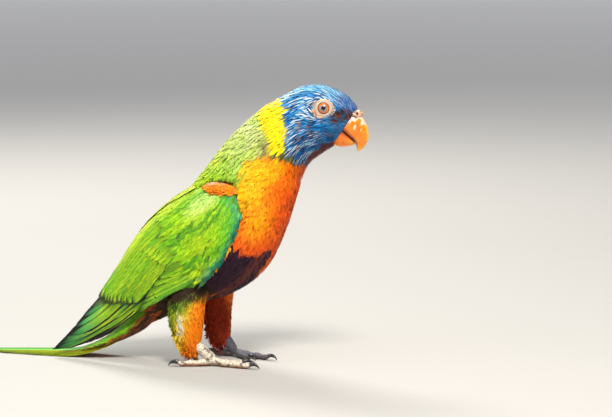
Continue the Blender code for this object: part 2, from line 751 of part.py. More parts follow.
def stand_on_floor():
    """Hangs every part on an empty that puts the origin under the middle of the bounding box."""
    corners = [vertex.co for obj in parts.objects for vertex in obj.data.vertices]
    low = Vector(min(c[axis] for c in corners) for axis in range(3))
    high = Vector(max(c[axis] for c in corners) for axis in range(3))
    stance = bpy.data.objects.new("stance", None)
    for obj in parts.objects:
        obj.parent = stance
    parts.objects.link(stance)
    stance.location = (-(low.x + high.x) / 2, -(low.y + high.y) / 2, -low.z)


clear_scene()
parts = bpy.data.collections.new("rainbow_lorikeet")
bpy.context.scene.collection.children.link(parts)

make_head()
finish(body_part("neck", NECK_FRONT, NECK_BACK), "neck")
finish(body_part("torso", NECK_BACK, TAIL_ROOT), "torso")
make_bill("upper_bill", UPPER_BILL, crest_columns=(0, 1), edge_columns=(2, 3))
make_bill("lower_bill", LOWER_BILL, crest_columns=(2, 3), edge_columns=(0, 1))
make_tail()
for wing_side in SIDES:
    make_thigh(wing_side)
    make_foot(wing_side)
    make_wing(wing_side)
stand_on_floor()
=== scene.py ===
"""The looks of a life-size rainbow lorikeet: skin, plumage, bill, eyes, feet, floor, light and camera.

The bird looks along +X, its left side is at +Y and up is +Z. Shapes are worked out in millimetres
from the same draft origin and the same named sizes as the solids, and `to_model` brings them to
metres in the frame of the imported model.
"""

import math

import bpy
import numpy as np
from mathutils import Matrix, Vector
from mathutils.kdtree import KDTree


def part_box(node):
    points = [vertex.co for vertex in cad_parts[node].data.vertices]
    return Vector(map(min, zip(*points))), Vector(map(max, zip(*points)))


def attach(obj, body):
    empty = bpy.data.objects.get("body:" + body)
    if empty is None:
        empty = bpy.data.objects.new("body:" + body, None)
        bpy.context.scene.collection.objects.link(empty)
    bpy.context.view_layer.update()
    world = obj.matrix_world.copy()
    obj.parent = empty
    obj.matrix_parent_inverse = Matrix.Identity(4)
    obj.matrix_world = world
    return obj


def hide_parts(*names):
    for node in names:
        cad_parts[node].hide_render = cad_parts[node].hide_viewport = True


MM = 0.001
SIDES = {"right": -1, "left": 1}
ACROSS, UP = np.array((0.0, 1.0, 0.0)), np.array((0.0, 0.0, 1.0))
rng = np.random.default_rng(20)

# Sizes shared with the solids, in millimetres.

# dorsal x, z; ventral x, z; half width, from the bill's base to the tail's root.
BODY_STATIONS = np.array((
    (87.8, 153.0, 75.0, 135.4, 6.6),
    (87.0, 157.0, 72.6, 132.6, 9.6),
    (82.9, 162.2, 68.6, 130.0, 12.8),
    (75.2, 167.0, 63.6, 126.6, 15.3),
    (65.2, 169.8, 59.2, 123.2, 16.6),
    (54.3, 168.9, 56.2, 119.2, 16.9),
    (42.2, 163.2, 53.8, 113.8, 17.2),
    (26.6, 153.4, 51.8, 106.8, 18.6),
    (9.4, 137.8, 48.8, 97.2, 22.4),
    (-4.6, 120.4, 45.0, 85.6, 25.6),
    (-17.4, 104.4, 40.0, 73.2, 27.2),
    (-28.0, 89.8, 33.4, 60.6, 27.0),
    (-36.5, 76.0, 22.4, 49.2, 25.2),
    (-42.5, 64.0, 7.0, 40.6, 22.2),
    (-46.5, 53.0, -10.5, 35.0, 18.4),
    (-49.0, 44.5, -24.5, 29.0, 14.2),
    (-50.5, 38.0, -34.5, 24.5, 10.6),
))
LAST_STATION = len(BODY_STATIONS) - 1
# The coat's depth over the skin, by station.
COAT_DEPTH = ((0.0, 0.35), (2.0, 0.7), (5.0, 1.1), (8.0, 1.7), (16.0, 1.7))

UPPER_BILL = np.array((
    (84.6, 154.6, 74.0, 148.6, 6.9),
    (89.6, 151.6, 78.2, 145.0, 6.9),
    (92.6, 147.2, 80.8, 142.4, 6.5),
    (94.2, 142.2, 83.2, 140.2, 5.7),
    (94.2, 137.6, 85.4, 138.2, 4.6),
    (92.6, 134.0, 87.0, 136.2, 3.3),
    (90.2, 131.4, 87.4, 133.4, 1.9),
    (88.0, 130.2, 87.4, 131.0, 0.7),
))
LOWER_BILL = np.array((
    (71.6, 147.2, 67.2, 139.0, 5.9),
    (77.0, 144.4, 71.8, 134.8, 6.2),
    (80.0, 141.8, 75.8, 132.9, 5.9),
    (82.6, 139.6, 80.2, 132.8, 5.0),
    (84.9, 137.4, 84.0, 133.6, 3.7),
    (86.4, 135.8, 86.2, 134.4, 2.0),
))
BILL_ROUNDNESS = 0.8
CERE_CENTRE, CERE_RADII = (86.8, 0.0, 152.4), (3.8, 5.7, 2.7)
NOSTRIL_CENTRE = (88.2, 4.2, 153.0)

EYE_CENTRE, EYE_RADIUS = (69.6, 10.9, 156.4), 4.4
EYE_AIM = (0.16, 1.0, 0.10)
EYE_STATION, EYE_TURN = 3.25, 62.5  # where the eye looks out of the head
EYE_RING_LENGTH, EYE_RING_HEIGHT = 5.9, 4.9

WING_BEND, WING_TIP = (25.0, 95.5), (-102.5, 4.2)
WING_OUTLINE = np.array((
    (-9.0, 14.0, 5.0, 20.5, 11.0),
    (4.0, 23.0, -5.0, 25.0, 5.0),
    (14.0, 27.5, -13.5, 27.4, 3.0),
    (30.0, 30.5, -21.5, 29.2, 2.2),
    (50.0, 30.0, -23.0, 28.8, 2.2),
    (70.0, 26.0, -17.0, 26.4, 2.4),
    (90.0, 18.0, -13.0, 22.6, 3.6),
    (110.0, 10.5, -11.0, 18.6, 6.0),
    (132.0, 5.6, -7.0, 15.2, 8.4),
    (158.0, 0.6, -1.2, 12.6, 10.4),
))
WING_TUCK, WING_TUCK_END = 0.14, 1.3
WING_SHIFT = {"right": (0.0, 0.0), "left": (3.5, -0.6)}

TAIL_START, TAIL_SLOPES = (-39.5, 33.2), (52.0, 2.2)
TAIL_LENGTH, TAIL_END_HEIGHT = 139.0, 0.45
TAIL_BASE = np.array((
    (0.0, 9.0, 6.6),
    (14.0, 10.8, 6.2),
    (28.0, 10.8, 4.2),
    (42.0, 9.8, 2.3),
    (54.0, 7.6, 0.9),
))
TAIL_ARCH = 0.012
TAIL_PAIRS, TAIL_STEP = 6, 8.6

THIGHS = {
    "right": np.array(
        (
            (-6.0, 11.0, 62.0, 13.0, 9.0),
            (-11.0, 14.0, 50.0, 13.2, 9.8),
            (-14.2, 16.0, 38.0, 12.0, 9.4),
            (-14.0, 17.0, 29.0, 10.8, 8.4),
            (-12.8, 17.0, 21.0, 8.8, 7.2),
            (-11.6, 17.0, 14.5, 6.4, 5.8),
            (-10.0, 17.0, 9.6, 3.8, 3.9),
        )
    ),
    "left": np.array(
        (
            (3.0, 11.0, 62.0, 12.0, 9.0),
            (-1.8, 14.0, 50.0, 11.6, 9.6),
            (-4.0, 16.0, 38.0, 10.0, 9.0),
            (-4.2, 17.0, 29.0, 8.8, 8.2),
            (-3.6, 17.0, 21.0, 7.8, 7.2),
            (-2.4, 17.0, 14.6, 6.4, 6.0),
            (-0.6, 17.0, 9.8, 3.9, 4.0),
        )
    ),
}
THIGH_DEPTH = 1.3

ANKLES = {"right": (-8.0, 17.0, 12.6), "left": (-0.6, 17.0, 13.2)}
FOOT_CENTRES = {"right": (3.0, 17.2, 3.2), "left": (6.6, 17.2, 3.2)}
FOOT_TURNS = {"right": 0.0, "left": -30.0}
SHANK_TOP = 3.0
TOES = {
    "inner_front": (-13.0, 17.5, 2.1, 1.55),
    "outer_front": (12.0, 25.0, 2.3, 1.6),
    "outer_back": (161.0, 21.5, 2.2, 1.55),
    "inner_back": (-157.0, 13.5, 2.0, 1.5),
}
TOE_LIFT = 0.9
CLAW_RADIUS, CLAW_TIP, CLAW_CURVE = 1.35, 0.12, 4.6
CLAW_GAP, CLAW_END_ANGLE = 0.4, -62.0

# Colours, linear.


def srgb(red, green, blue):
    """A linear colour from the 0 to 255 values of a colour picker."""
    c = np.array((red, green, blue)) / 255
    return np.where(c <= 0.04045, c / 12.92, ((c + 0.055) / 1.055) ** 2.4)


BLUE, DEEP_BLUE, PALE_BLUE = srgb(0, 140, 214), srgb(2, 42, 108), srgb(190, 234, 250)
# A light blue painted on the crown's top as a highlight, where the light falls.
CROWN_HIGHLIGHT = srgb(104, 192, 234)
LORE = srgb(54, 32, 38)
THROAT = srgb(105, 30, 22)
COLLAR = srgb(255, 226, 0)
NAPE, NAPE_BROWN = srgb(176, 198, 104), srgb(146, 132, 78)
# The second colour is a pale lime: the own edges of some feathers, and also a painted highlight on the
# top of the back and of the wings.
MANTLE, PALE_LIME_AND_HIGHLIGHT = srgb(158, 202, 44), srgb(214, 228, 62)
BACK = srgb(126, 190, 24)
ORANGE, AMBER, SCARLET = srgb(255, 122, 0), srgb(255, 194, 0), srgb(238, 82, 6)
PURPLE, PURPLE_BROWN = srgb(46, 16, 38), srgb(104, 46, 40)
VENT = srgb(150, 40, 8)
# A yellow painted along the wing's top edge as a highlight.
TOP_HIGHLIGHT = srgb(226, 236, 30)
TUFT_ORANGE, TUFT_SHINE = srgb(255, 138, 10), srgb(255, 222, 206)
# The first is painted shade: a dark brown for the parts behind the thighs, under the wings and under the
# tail.
SHADE_BROWN, RUST = srgb(52, 34, 14), srgb(156, 72, 8)
GREEN, DEEP_GREEN, LIME, EMERALD = (
    srgb(114, 186, 18),
    srgb(38, 112, 22),
    srgb(196, 218, 22),
    srgb(40, 172, 56),
)
TEAL, WING_BLUE = srgb(16, 150, 124), srgb(34, 126, 168)
# Black of the feathers, also painted as shadow in the belly's fold and between the long feathers of the
# wing.
FEATHER_BLACK_AND_SHADE = srgb(22, 18, 20)
OLIVE, YELLOW = srgb(116, 150, 18), srgb(238, 204, 12)
# The far thigh's red, darkened as painted shade.
SHADED_FAR_THIGH = srgb(150, 46, 4)
CREAM = srgb(214, 192, 166)
ROYAL_BLUE, WHITE_BLUE = srgb(0, 90, 176), srgb(246, 252, 255)
TAN, PALE_TAN = srgb(132, 104, 92), srgb(214, 190, 168)
PALE_NAPE = srgb(206, 214, 150)
COLLAR_BROWN, COLLAR_DARK = srgb(92, 96, 62), srgb(60, 56, 40)


def mix(first, second, share):
    share = np.asarray(share)[..., None]
    return first * (1 - share) + second * share


def layers(colour, *steps):
    """A colour with others laid over it in turn, each by its share."""
    for over, share in steps:
        colour = mix(colour, over, share)
    return colour


def turns(count, start=0.0):
    """Angles in equal steps all the way round, from a share of a turn."""
    return (np.arange(count) / count + start) * math.tau


def on_side(point, side):
    """A point given for the left side, on the side of a sign."""
    return np.array((point[0], side * point[1], point[2]))


def smooth(low, high, value):
    t = np.clip((value - low) / (high - low), 0.0, 1.0)
    return t * t * (3 - 2 * t)


def bell(offset, width, power=2):
    """1 where an offset is 0, falling away over a width."""
    return np.exp(-((offset / width) ** power))


def triple(first, second, third):
    return np.stack(np.broadcast_arrays(first, second, third), axis=-1)


def linear(table, at):
    table = np.array(table)
    return np.interp(at, table[:, 0], table[:, 1])


def ripple(points, size, seed):
    """Smooth random variation from -1 to 1 over points, of about the given size."""
    draw = np.random.default_rng(seed)
    total = 0.0
    for _ in range(7):
        wave = draw.normal(size=3) / size * 2.2
        total = total + np.sin(points @ wave + draw.uniform(0, math.tau))
    return np.clip(total / 3.2, -1, 1)


# Surfaces that carry feathers.


def between(table, at):
    """Rows of a table at fractional indices, on a smooth curve through its rows."""
    at = np.asarray(at, float)
    low = np.clip(np.floor(at).astype(int), 0, len(table) - 2)
    t = (at - low)[..., None]
    a, b, c, d = (table[np.clip(low + k, 0, len(table) - 1)] for k in (-1, 0, 1, 2))
    slope_b, slope_c = (c - a) / 2, (d - b) / 2
    return (
        b * (2 * t**3 - 3 * t**2 + 1)
        + slope_b * (t**3 - 2 * t**2 + t)
        + c * (3 * t**2 - 2 * t**3)
        + slope_c * (t**3 - t**2)
    )


def at_distance(table, distance):
    """The columns after the first of a table, at values of its first column."""
    last = len(table) - 1
    low = np.clip(np.searchsorted(table[:, 0], distance, side="right") - 1, 0, last - 1)
    share = (distance - table[low, 0]) / (table[low + 1, 0] - table[low, 0])
    return between(table, low + np.clip(share, 0, 1))[..., 1:]


def unit(vectors):
    return vectors / np.maximum(np.linalg.norm(vectors, axis=-1, keepdims=True), 1e-9)


class Surface:
    """A grid of points, read with its normals at fractional rows and columns. The columns of a
    closed one go round, and past an open edge the surface runs straight on."""

    def __init__(self, points, closed, flip=False):
        self.points, self.closed, self.flip = points, closed, flip
        if closed:
            ring = np.concatenate([points[:, -1:], points, points[:, :1]], axis=1)
            turn = (ring[:, 2:] - ring[:, :-2]) / 2
        else:
            turn = np.gradient(points, axis=1)
        run = np.gradient(points, axis=0)
        self.normals = unit(np.cross(run, turn)) * (-1 if flip else 1)
        self.row_size = np.linalg.norm(run, axis=2, keepdims=True)
        self.column_size = np.linalg.norm(turn, axis=2, keepdims=True)

    def read(self, field, i, j):
        rows, columns = field.shape[:2]
        low_i = np.clip(np.floor(i).astype(int), 0, rows - 2)
        low_j = np.floor(j).astype(int)
        if not self.closed:
            low_j = np.clip(low_j, 0, columns - 2)
        share_i, share_j = (i - low_i)[..., None], (j - low_j)[..., None]
        near, far = low_j % columns, (low_j + 1) % columns
        first = field[low_i, near] * (1 - share_j) + field[low_i, far] * share_j
        second = field[low_i + 1, near] * (1 - share_j) + field[low_i + 1, far] * share_j
        return first * (1 - share_i) + second * share_i

    def place(self, i, j, height):
        edge_i = np.clip(i, 0, len(self.points) - 1)
        return self.at(i, j) + self.read(self.normals, edge_i, j) * height[..., None]

    def at(self, i, j):
        return self.read(self.points, i, j)


def tip_place(surface, i, j, heading, distance):
    """Where a run of some length over a surface from i, j ends, as row and column."""
    row_size = surface.read(surface.row_size, i, j)[:, 0]
    column_size = surface.read(surface.column_size, i, j)[:, 0]
    end_i = i + distance * np.cos(heading) / row_size
    return np.clip(end_i, 0, len(surface.points) - 1), j + distance * np.sin(heading) / column_size


def oval_points(dorsal, ventral, half_width, angles):
    """Ovals round the lines from ventral to dorsal points; angle 0 is dorsal, positive is left."""
    up = dorsal - ventral
    half_height = np.linalg.norm(up, axis=-1, keepdims=True) / 2
    up = unit(up)
    centre = (dorsal + ventral) / 2
    return (
        centre[:, None]
        + (up * half_height)[:, None] * np.cos(angles)[None, :, None]
        + (ACROSS * half_width[:, None])[:, None] * np.sin(angles)[None, :, None]
    )


BODY_ROWS_A_STATION, BODY_COLUMNS = 30, 360
THIGH_ROWS, THIGH_COLUMNS = 140, 180
TAIL_BASE_ROWS, TAIL_BASE_COLUMNS = 110, 120
WING_BED_DEPTH = 1.6  # of the hollow in the body's side that each folded wing lies in


def wing_section(along):
    """The folded wing at a distance along it: the middle and half of its width, and how far out
    its face and its top edge are."""
    top, bottom, outer, inner = np.moveaxis(at_distance(WING_OUTLINE, along), -1, 0)
    return (top + bottom) / 2, (top - bottom) / 2, outer, inner


def tucked(outer, reach):
    """How far out the wing's face is below its middle, at shares of its half width down."""
    return outer * (1 - WING_TUCK * np.minimum(-reach, WING_TUCK_END) ** 2)


def wing_cover(points, side_name):
    """For points in space: how far along a folded wing they are, how far up or down its width
    from -1 to 1, and how far out its face is there."""
    bend, axis, up = wing_axes()
    forward, raised = WING_SHIFT[side_name]
    place = points - bend - np.array((forward, 0.0, raised))
    along, across = place @ axis, place @ up
    middle, half, outer, inner = wing_section(along)
    reach = (across - middle) / half
    rounded = inner + (outer - inner) * np.sqrt(np.clip(1 - reach**2, 0, 1))
    return along, reach, np.where(reach > 0, rounded, tucked(outer, reach))


def tucked_under_wings(points):
    """Presses the body in where the folded wings lie, so that their feathers stay on top."""
    points = points.copy()
    for side_name, side in SIDES.items():
        along, reach, face = wing_cover(points, side_name)
        inside = smooth(1.04, 0.92, np.abs(reach)) * smooth(-6.0, 1.0, along)
        inside = inside * (points[..., 1] * side > 0)
        press = np.clip(points[..., 1] * side - face + WING_BED_DEPTH, 0, None) * inside
        points[..., 1] -= press * side
    return points


HIDDEN_REACH, HIDDEN_TO, HIDDEN_OUT = 0.84, 78, 6  # where a folded wing hides the body


def under_wing(points):
    """True for points that a folded wing hides."""
    hidden = np.zeros(len(points), bool)
    for side_name, side in SIDES.items():
        along, reach, _ = wing_cover(points, side_name)
        within = (np.abs(reach) < HIDDEN_REACH) & (along > 0) & (along < HIDDEN_TO)
        hidden |= within & (points[:, 1] * side > HIDDEN_OUT)
    return hidden


def body_surface():
    """The skin of head, neck and torso: the solids' shape less the coat's depth, with a brow and a hollow
    round the eye."""
    stations = np.arange(LAST_STATION * BODY_ROWS_A_STATION + 1) / BODY_ROWS_A_STATION
    angles = turns(BODY_COLUMNS, -0.5)
    rows = between(BODY_STATIONS, stations)
    flat = np.zeros(len(rows))
    dorsal = np.stack([rows[:, 0], flat, rows[:, 1]], axis=1)
    ventral = np.stack([rows[:, 2], flat, rows[:, 3]], axis=1)
    outer = Surface(oval_points(dorsal, ventral, rows[:, 4], angles), True, flip=True)
    turn = np.degrees(np.abs(angles))[None, :]
    station = stations[:, None]
    depth = np.repeat(linear(COAT_DEPTH, stations)[:, None], BODY_COLUMNS, axis=1)
    eye_x, eye_y = (station - EYE_STATION) * 8.5, (turn - EYE_TURN) * 0.30
    ring = np.hypot(eye_x / EYE_RING_LENGTH, eye_y / EYE_RING_HEIGHT)
    depth += 0.55 * bell(ring, 0.9, 4)
    depth -= 0.35 * bell(ring - 1.15, 0.3) * (turn < EYE_TURN)
    points = outer.points - outer.normals * depth[..., None]
    return Surface(tucked_under_wings(points), True, flip=True)


def body_index(station, angle):
    return station * BODY_ROWS_A_STATION, (angle / math.tau + 0.5) * BODY_COLUMNS


def body_place(i, j):
    """The station, the angle round the body and the degrees round from the back of a row, column."""
    angle = (j / BODY_COLUMNS - 0.5) * math.tau
    return i / BODY_ROWS_A_STATION, angle, np.degrees(np.abs(angle))


def thigh_surface(side_name):
    table = THIGHS[side_name]
    rows = between(table, np.linspace(0, len(table) - 1, THIGH_ROWS))
    angles = turns(THIGH_COLUMNS, -0.5)
    x = rows[:, None, 0] + (rows[:, None, 3] - THIGH_DEPTH) * np.cos(angles)
    y = rows[:, None, 1] + (rows[:, None, 4] - THIGH_DEPTH) * np.sin(angles)
    z = np.repeat(rows[:, 2:3], len(angles), axis=1)
    side = SIDES[side_name]
    return Surface(np.stack([x, y * side, z], axis=2), True, flip=side < 0)


def wing_axes():
    bend = np.array((WING_BEND[0], 0.0, WING_BEND[1]))
    along = unit(np.array((WING_TIP[0], 0.0, WING_TIP[1])) - bend)
    return bend, along, np.array((along[2], 0.0, -along[0]))


def wing_spans(along):
    """How far the wing's face reaches below and above its middle line, measured on the face."""
    _, half, outer, inner = wing_section(along)
    return half, (half + outer - inner) / 2 * math.pi / 2


def wing_face(along, rise):
    """Points of the left wing's face, which rounds over to the back in a quarter of an oval."""
    bend, axis, up = wing_axes()
    middle, half, outer, inner = wing_section(along)
    radius = (half + outer - inner) / 2
    angle = np.clip(rise / radius, 0, math.pi / 2)
    above = rise > 0
    across = middle + np.where(above, half * np.sin(angle), rise)
    rounded = inner + (outer - inner) * np.cos(angle) - (rise - angle * radius)
    side = np.where(above, rounded, tucked(outer, rise / half))
    flat = bend + axis * along[..., None] + up * across[..., None]
    return flat + ACROSS * side[..., None]


# The lower front edge of the coverts on the wing's face: rise at a distance along the wing.
WING_FRONT = (
    (-9, 26),
    (-4, 12),
    (-1.5, 3),
    (0.5, -7),
    (6.5, -12.4),
    (14, -16),
    (23, -20.2),
    (34.5, -23),
    (60, -26),
)


def front_edge(along):
    return np.maximum(linear(WING_FRONT, along), -wing_spans(along)[0])


WING_FROM, WING_LOW = -16.0, -40.0  # of the wing's grid, which has a row and a column a millimetre


def wing_surface(side_name):
    along, rise = np.meshgrid(np.arange(WING_FROM, 168), np.arange(WING_LOW, 66), indexing="ij")
    points = wing_face(along, rise)
    forward, up = WING_SHIFT[side_name]
    points = points + np.array((forward, 0.0, up))
    side = SIDES[side_name]
    points[..., 1] *= side
    return Surface(points, False, flip=side < 0)


def wing_index(along, rise):
    return along - WING_FROM, rise - WING_LOW


def tail_line(distance):
    """The tail's centre line: its x and z at a distance, and its slope down from level."""
    first, last = (math.radians(angle) for angle in TAIL_SLOPES)
    drop = TAIL_START[1] - TAIL_END_HEIGHT
    turn = first - last
    arc_drop = math.cos(last) - math.cos(first)
    radius = (drop - TAIL_LENGTH * math.sin(last)) / (arc_drop - turn * math.sin(last))
    on_arc = np.minimum(distance, radius * turn)
    slope = first - on_arc / radius
    straight = distance - on_arc
    x = TAIL_START[0] - radius * (math.sin(first) - np.sin(slope)) - straight * np.cos(slope)
    z = TAIL_START[1] - radius * (np.cos(slope) - math.cos(first)) - straight * np.sin(slope)
    return x, z, slope


def tail_place(along, across, height):
    x, z, slope = tail_line(along)
    drop = TAIL_ARCH * across**2 * (1 - along / TAIL_LENGTH)
    rise = height - drop
    return np.stack([x - np.sin(slope) * rise, across, z + np.cos(slope) * rise], axis=-1)


TAIL_COLUMNS_FROM = -24.0


def tail_surface():
    along, across = np.meshgrid(
        np.arange(0.0, 150.0), np.arange(TAIL_COLUMNS_FROM, 25.0), indexing="ij"
    )
    return Surface(tail_place(along, across, along * 0), False, flip=True)


def tail_base_surface():
    rows = between(TAIL_BASE, np.linspace(0, len(TAIL_BASE) - 1, TAIL_BASE_ROWS))
    angles = turns(TAIL_BASE_COLUMNS, -0.5)
    along = np.repeat(rows[:, :1], len(angles), axis=1)
    across = rows[:, 1:2] * np.sin(angles)
    height = (rows[:, 2:3] - 0.4) * np.cos(angles)
    return Surface(tail_place(along, across, height), True, flip=True)


# Feathers.


class Pattern:
    """A feather's flat pattern: shares along (u) and across (v), its faces and its outline. The tip
    ends in one tooth a column, as parted barbs do."""

    def __init__(self, rows, columns, widths, roundness, shaft=0.0, thick=0.0, last=None):
        last = last or 1 / rows
        u = np.repeat(np.linspace(0, 1 - last, rows), columns + 1)
        v = np.tile(np.linspace(-1, 1, columns + 1), rows)
        middles = (np.linspace(-1, 1, columns + 1)[1:] + np.linspace(-1, 1, columns + 1)[:-1]) / 2
        self.u, self.v = np.append(u, np.ones(columns)), np.append(v, middles)
        self.width = linear(widths, self.u)
        strands = np.tile(np.arange(columns + 1), rows)
        self.strand = np.append(strands, np.arange(columns))
        self.roundness, self.shaft, self.thick = roundness, shaft, thick
        wide = columns + 1
        quads = [
            (r * wide + c, r * wide + c + 1, (r + 1) * wide + c + 1, (r + 1) * wide + c)
            for r in range(rows - 1)
            for c in range(columns)
        ]
        end, tips = (rows - 1) * wide, rows * wide
        teeth = [(end + c, end + c + 1, tips + c) for c in range(columns)]
        self.count = len(self.u)
        if thick:
            rim = [r * wide for r in range(rows)]
            for c in range(columns):
                rim += [tips + c, end + c + 1]
            rim += [r * wide + columns for r in range(rows - 2, -1, -1)]
            rim += list(range(columns - 1, 0, -1))
            k = self.count
            under = [tuple(reversed([p + k for p in face])) for face in quads + teeth]
            sides = [(b, a, a + k, b + k) for a, b in zip(rim, rim[1:] + rim[:1])]
            self.faces = quads + teeth + under + sides
            self.u, self.v = np.tile(self.u, 2), np.tile(self.v, 2)
            self.width, self.strand = np.tile(self.width, 2), np.tile(self.strand, 2)
            self.count *= 2
        else:
            self.faces = quads + teeth
        self.under = np.arange(self.count) >= len(self.u) // 2 if thick else np.zeros(self.count, bool)


# Shares of a feather's length, with its share of the full width there.
SPOON = ((0.0, 0.35), (0.35, 0.85), (0.65, 1.0), (0.85, 0.95), (1.0, 0.72))
LANCE = ((0.0, 0.45), (0.4, 1.0), (0.7, 0.85), (0.9, 0.5), (1.0, 0.25))
SOFT = ((0.0, 0.45), (0.4, 1.0), (0.7, 0.94), (0.9, 0.72), (1.0, 0.45))
BLADE = ((0.0, 0.45), (0.2, 0.85), (0.45, 1.0), (0.8, 0.95), (0.93, 0.75), (1.0, 0.45))
POINTED = ((0.0, 0.5), (0.3, 1.0), (0.6, 0.9), (0.82, 0.62), (0.94, 0.36), (1.0, 0.14))


def body_paint(part, pattern, u, v, noise):
    """A small feather in one colour: painted shade at the root, where the feathers over it lie, with
    strands, and black at some tips.
    """
    # Painted shade: the root is darker, as if shaded by the feathers that lie over it.
    deep = part["deep"][:, None]
    shade = 1 - deep + deep * smooth(0.05, 0.5, u)
    shade = shade * (1 + 0.07 * part["tone"][:, None]) * (1 - 0.16 * smooth(0.75, 1.0, np.abs(v)))
    shade = shade * (1 + part["strands"][:, None] * noise[:, pattern.strand] * smooth(0.1, 0.7, u))
    base = part["colour"][:, None] * np.clip(shade, 0.25, 1.7)[..., None]
    tip = smooth(0.75, 1.0, u) * part["tip"][:, None]
    return mix(base, FEATHER_BLACK_AND_SHADE, np.clip(tip, 0, 1))


def head_paint(part, pattern, u, v, noise):
    """A narrow feather of the head: a pale streak down its middle between dark edges, which are partly
    its own colour and partly painted shade in the gaps between feathers, and painted shade at its root.
    """
    # Painted shade: darker at the root, where the feathers over it lie.
    shade = (0.3 + 0.7 * smooth(0.15, 0.7, u)) * (1 + 0.12 * part["tone"][:, None])
    base = part["colour"][:, None] * shade[..., None]
    light = smooth(0.55, 0.12, np.abs(v)) * smooth(0.15, 0.45, u) * part["streak"][:, None]
    base = mix(base, part["pale"][:, None], np.clip(light, 0, 1))
    # Dark edges: partly the streaked pattern, partly painted shade in the gaps between feathers.
    edge = smooth(0.35, 0.8, np.abs(v)) * part["streaked"][:, None] * 0.95
    return mix(base, DEEP_BLUE * 0.4, edge)


# Defaults for small feathers; the last is the share of painted shade at a feather's root.
SMALL_FEATHER = {"bow": 0.0, "tilt": 0.0, "tip": 0.0, "strands": 0.16, "deep": 0.4}


def feathers(name, surface, pattern, material, unwrap, paint=body_paint, **roots):
    """One mesh of feathers. roots holds arrays: i, j on the surface, heading (turned towards higher
    columns), length, half_width, low and high (heights of root and tip), camber, bow and what the
    paint needs."""
    count = len(roots["i"])
    part = {}
    for key, value in {**SMALL_FEATHER, **roots}.items():
        value = np.asarray(value, float)
        part[key] = value if value.ndim > 1 else np.broadcast_to(value, (count,))
    column = {key: value[:, None] for key, value in part.items()}
    u, v = pattern.u[None], pattern.v[None]
    noise = rng.normal(size=(count, pattern.count))
    reach = u * (1 - pattern.roundness * v**2 * u**2) + column["ragged"] * noise * u**6
    along = reach * column["length"]
    across = v * pattern.width[None] * column["half_width"] + column["bow"] * column["length"] * u**2
    turn_cos, turn_sin = np.cos(column["heading"]), np.sin(column["heading"])
    safe_i = np.clip(part["i"], 0, len(surface.points) - 1)
    row_size = surface.read(surface.row_size, safe_i, part["j"])
    column_size = surface.read(surface.column_size, safe_i, part["j"])
    i = column["i"] + (along * turn_cos - across * turn_sin) / row_size
    j = column["j"] + (along * turn_sin + across * turn_cos) / column_size
    height = column["low"] + (column["high"] - column["low"]) * u**1.3
    height = height - column["camber"] * v**2 * column["half_width"] * (0.3 + 0.7 * u)
    height = height + column["tilt"] * v
    if pattern.shaft:
        height = height + pattern.shaft * bell(v, 0.16) * (1 - u)
    if pattern.thick:
        height = height - pattern.thick * pattern.under[None]
    points = surface.place(i, j, height)
    points[..., 2] = np.maximum(points[..., 2], LOWEST)
    return mesh_piece(
        name,
        points.reshape(-1, 3),
        pattern_faces(pattern, count, not surface.flip),
        paint(part, pattern, u, v, noise).reshape(-1, 3),
        material,
        coat_uvs(unwrap, part, pattern, surface),
        vane_uvs=np.stack([across, along], axis=2).reshape(-1, 2) / 10,
    )


def pattern_faces(pattern, count, turned):
    """Faces of every feather, as one flat list of corners and one of corner counts."""
    sizes = np.array([len(face) for face in pattern.faces])
    order = -1 if turned else 1
    flat = np.array([corner for face in pattern.faces for corner in face[::order]])
    shifts = np.arange(count) * pattern.count
    return (flat[None] + shifts[:, None]).ravel(), np.tile(sizes, count)


BAKE_PATCH = 0.003
LOWEST = 0.03  # height of the lowest feather over the floor
SOLE_HEIGHT = 0.02

# Where coats lie on the unwrap: from and to across, then from and to up.
BODY_BAND, WHOLE_BAND, TAIL_BAND = (0.01, 0.6, 0.01, 0.99), (0, 1, 0, 1), (0.62, 0.99, 0.3, 0.58)
THIGH_BANDS = {"right": (0.62, 0.8, 0.6, 0.99), "left": (0.81, 0.99, 0.6, 0.99)}
WING_BANDS = {"right": (0.01, 0.49, 0.01, 0.5), "left": (0.51, 0.99, 0.01, 0.5)}


def coat_uvs(unwrap, part, pattern, surface):
    """Each feather is a small patch at its root's place on an unwrap of the skin."""
    low_u, high_u, low_v, high_v = unwrap
    rows, columns = surface.points.shape[:2]
    place_u = low_u + (high_u - low_u) * np.clip((part["j"] % columns) / columns, 0, 1)
    place_v = low_v + (high_v - low_v) * np.clip(part["i"] / rows, 0, 1)
    u = place_u[:, None] + pattern.v[None] * BAKE_PATCH / 2
    v = place_v[:, None] + (pattern.u[None] - 0.5) * BAKE_PATCH
    return np.stack([u, v], axis=2).reshape(-1, 2)


def to_model(points):
    return (points + OFFSET) * MM


def add_to_scene(name, data):
    obj = bpy.data.objects.new(name, data)
    bpy.context.scene.collection.objects.link(obj)
    return obj


def face_starts(sizes):
    return np.concatenate([[0], np.cumsum(sizes)[:-1]])


def set_uvs(mesh, layer, uvs, corners):
    layer = mesh.uv_layers.get(layer) or mesh.uv_layers.new(name=layer)
    layer.data.foreach_set("uv", uvs[corners].astype(np.float32).ravel())


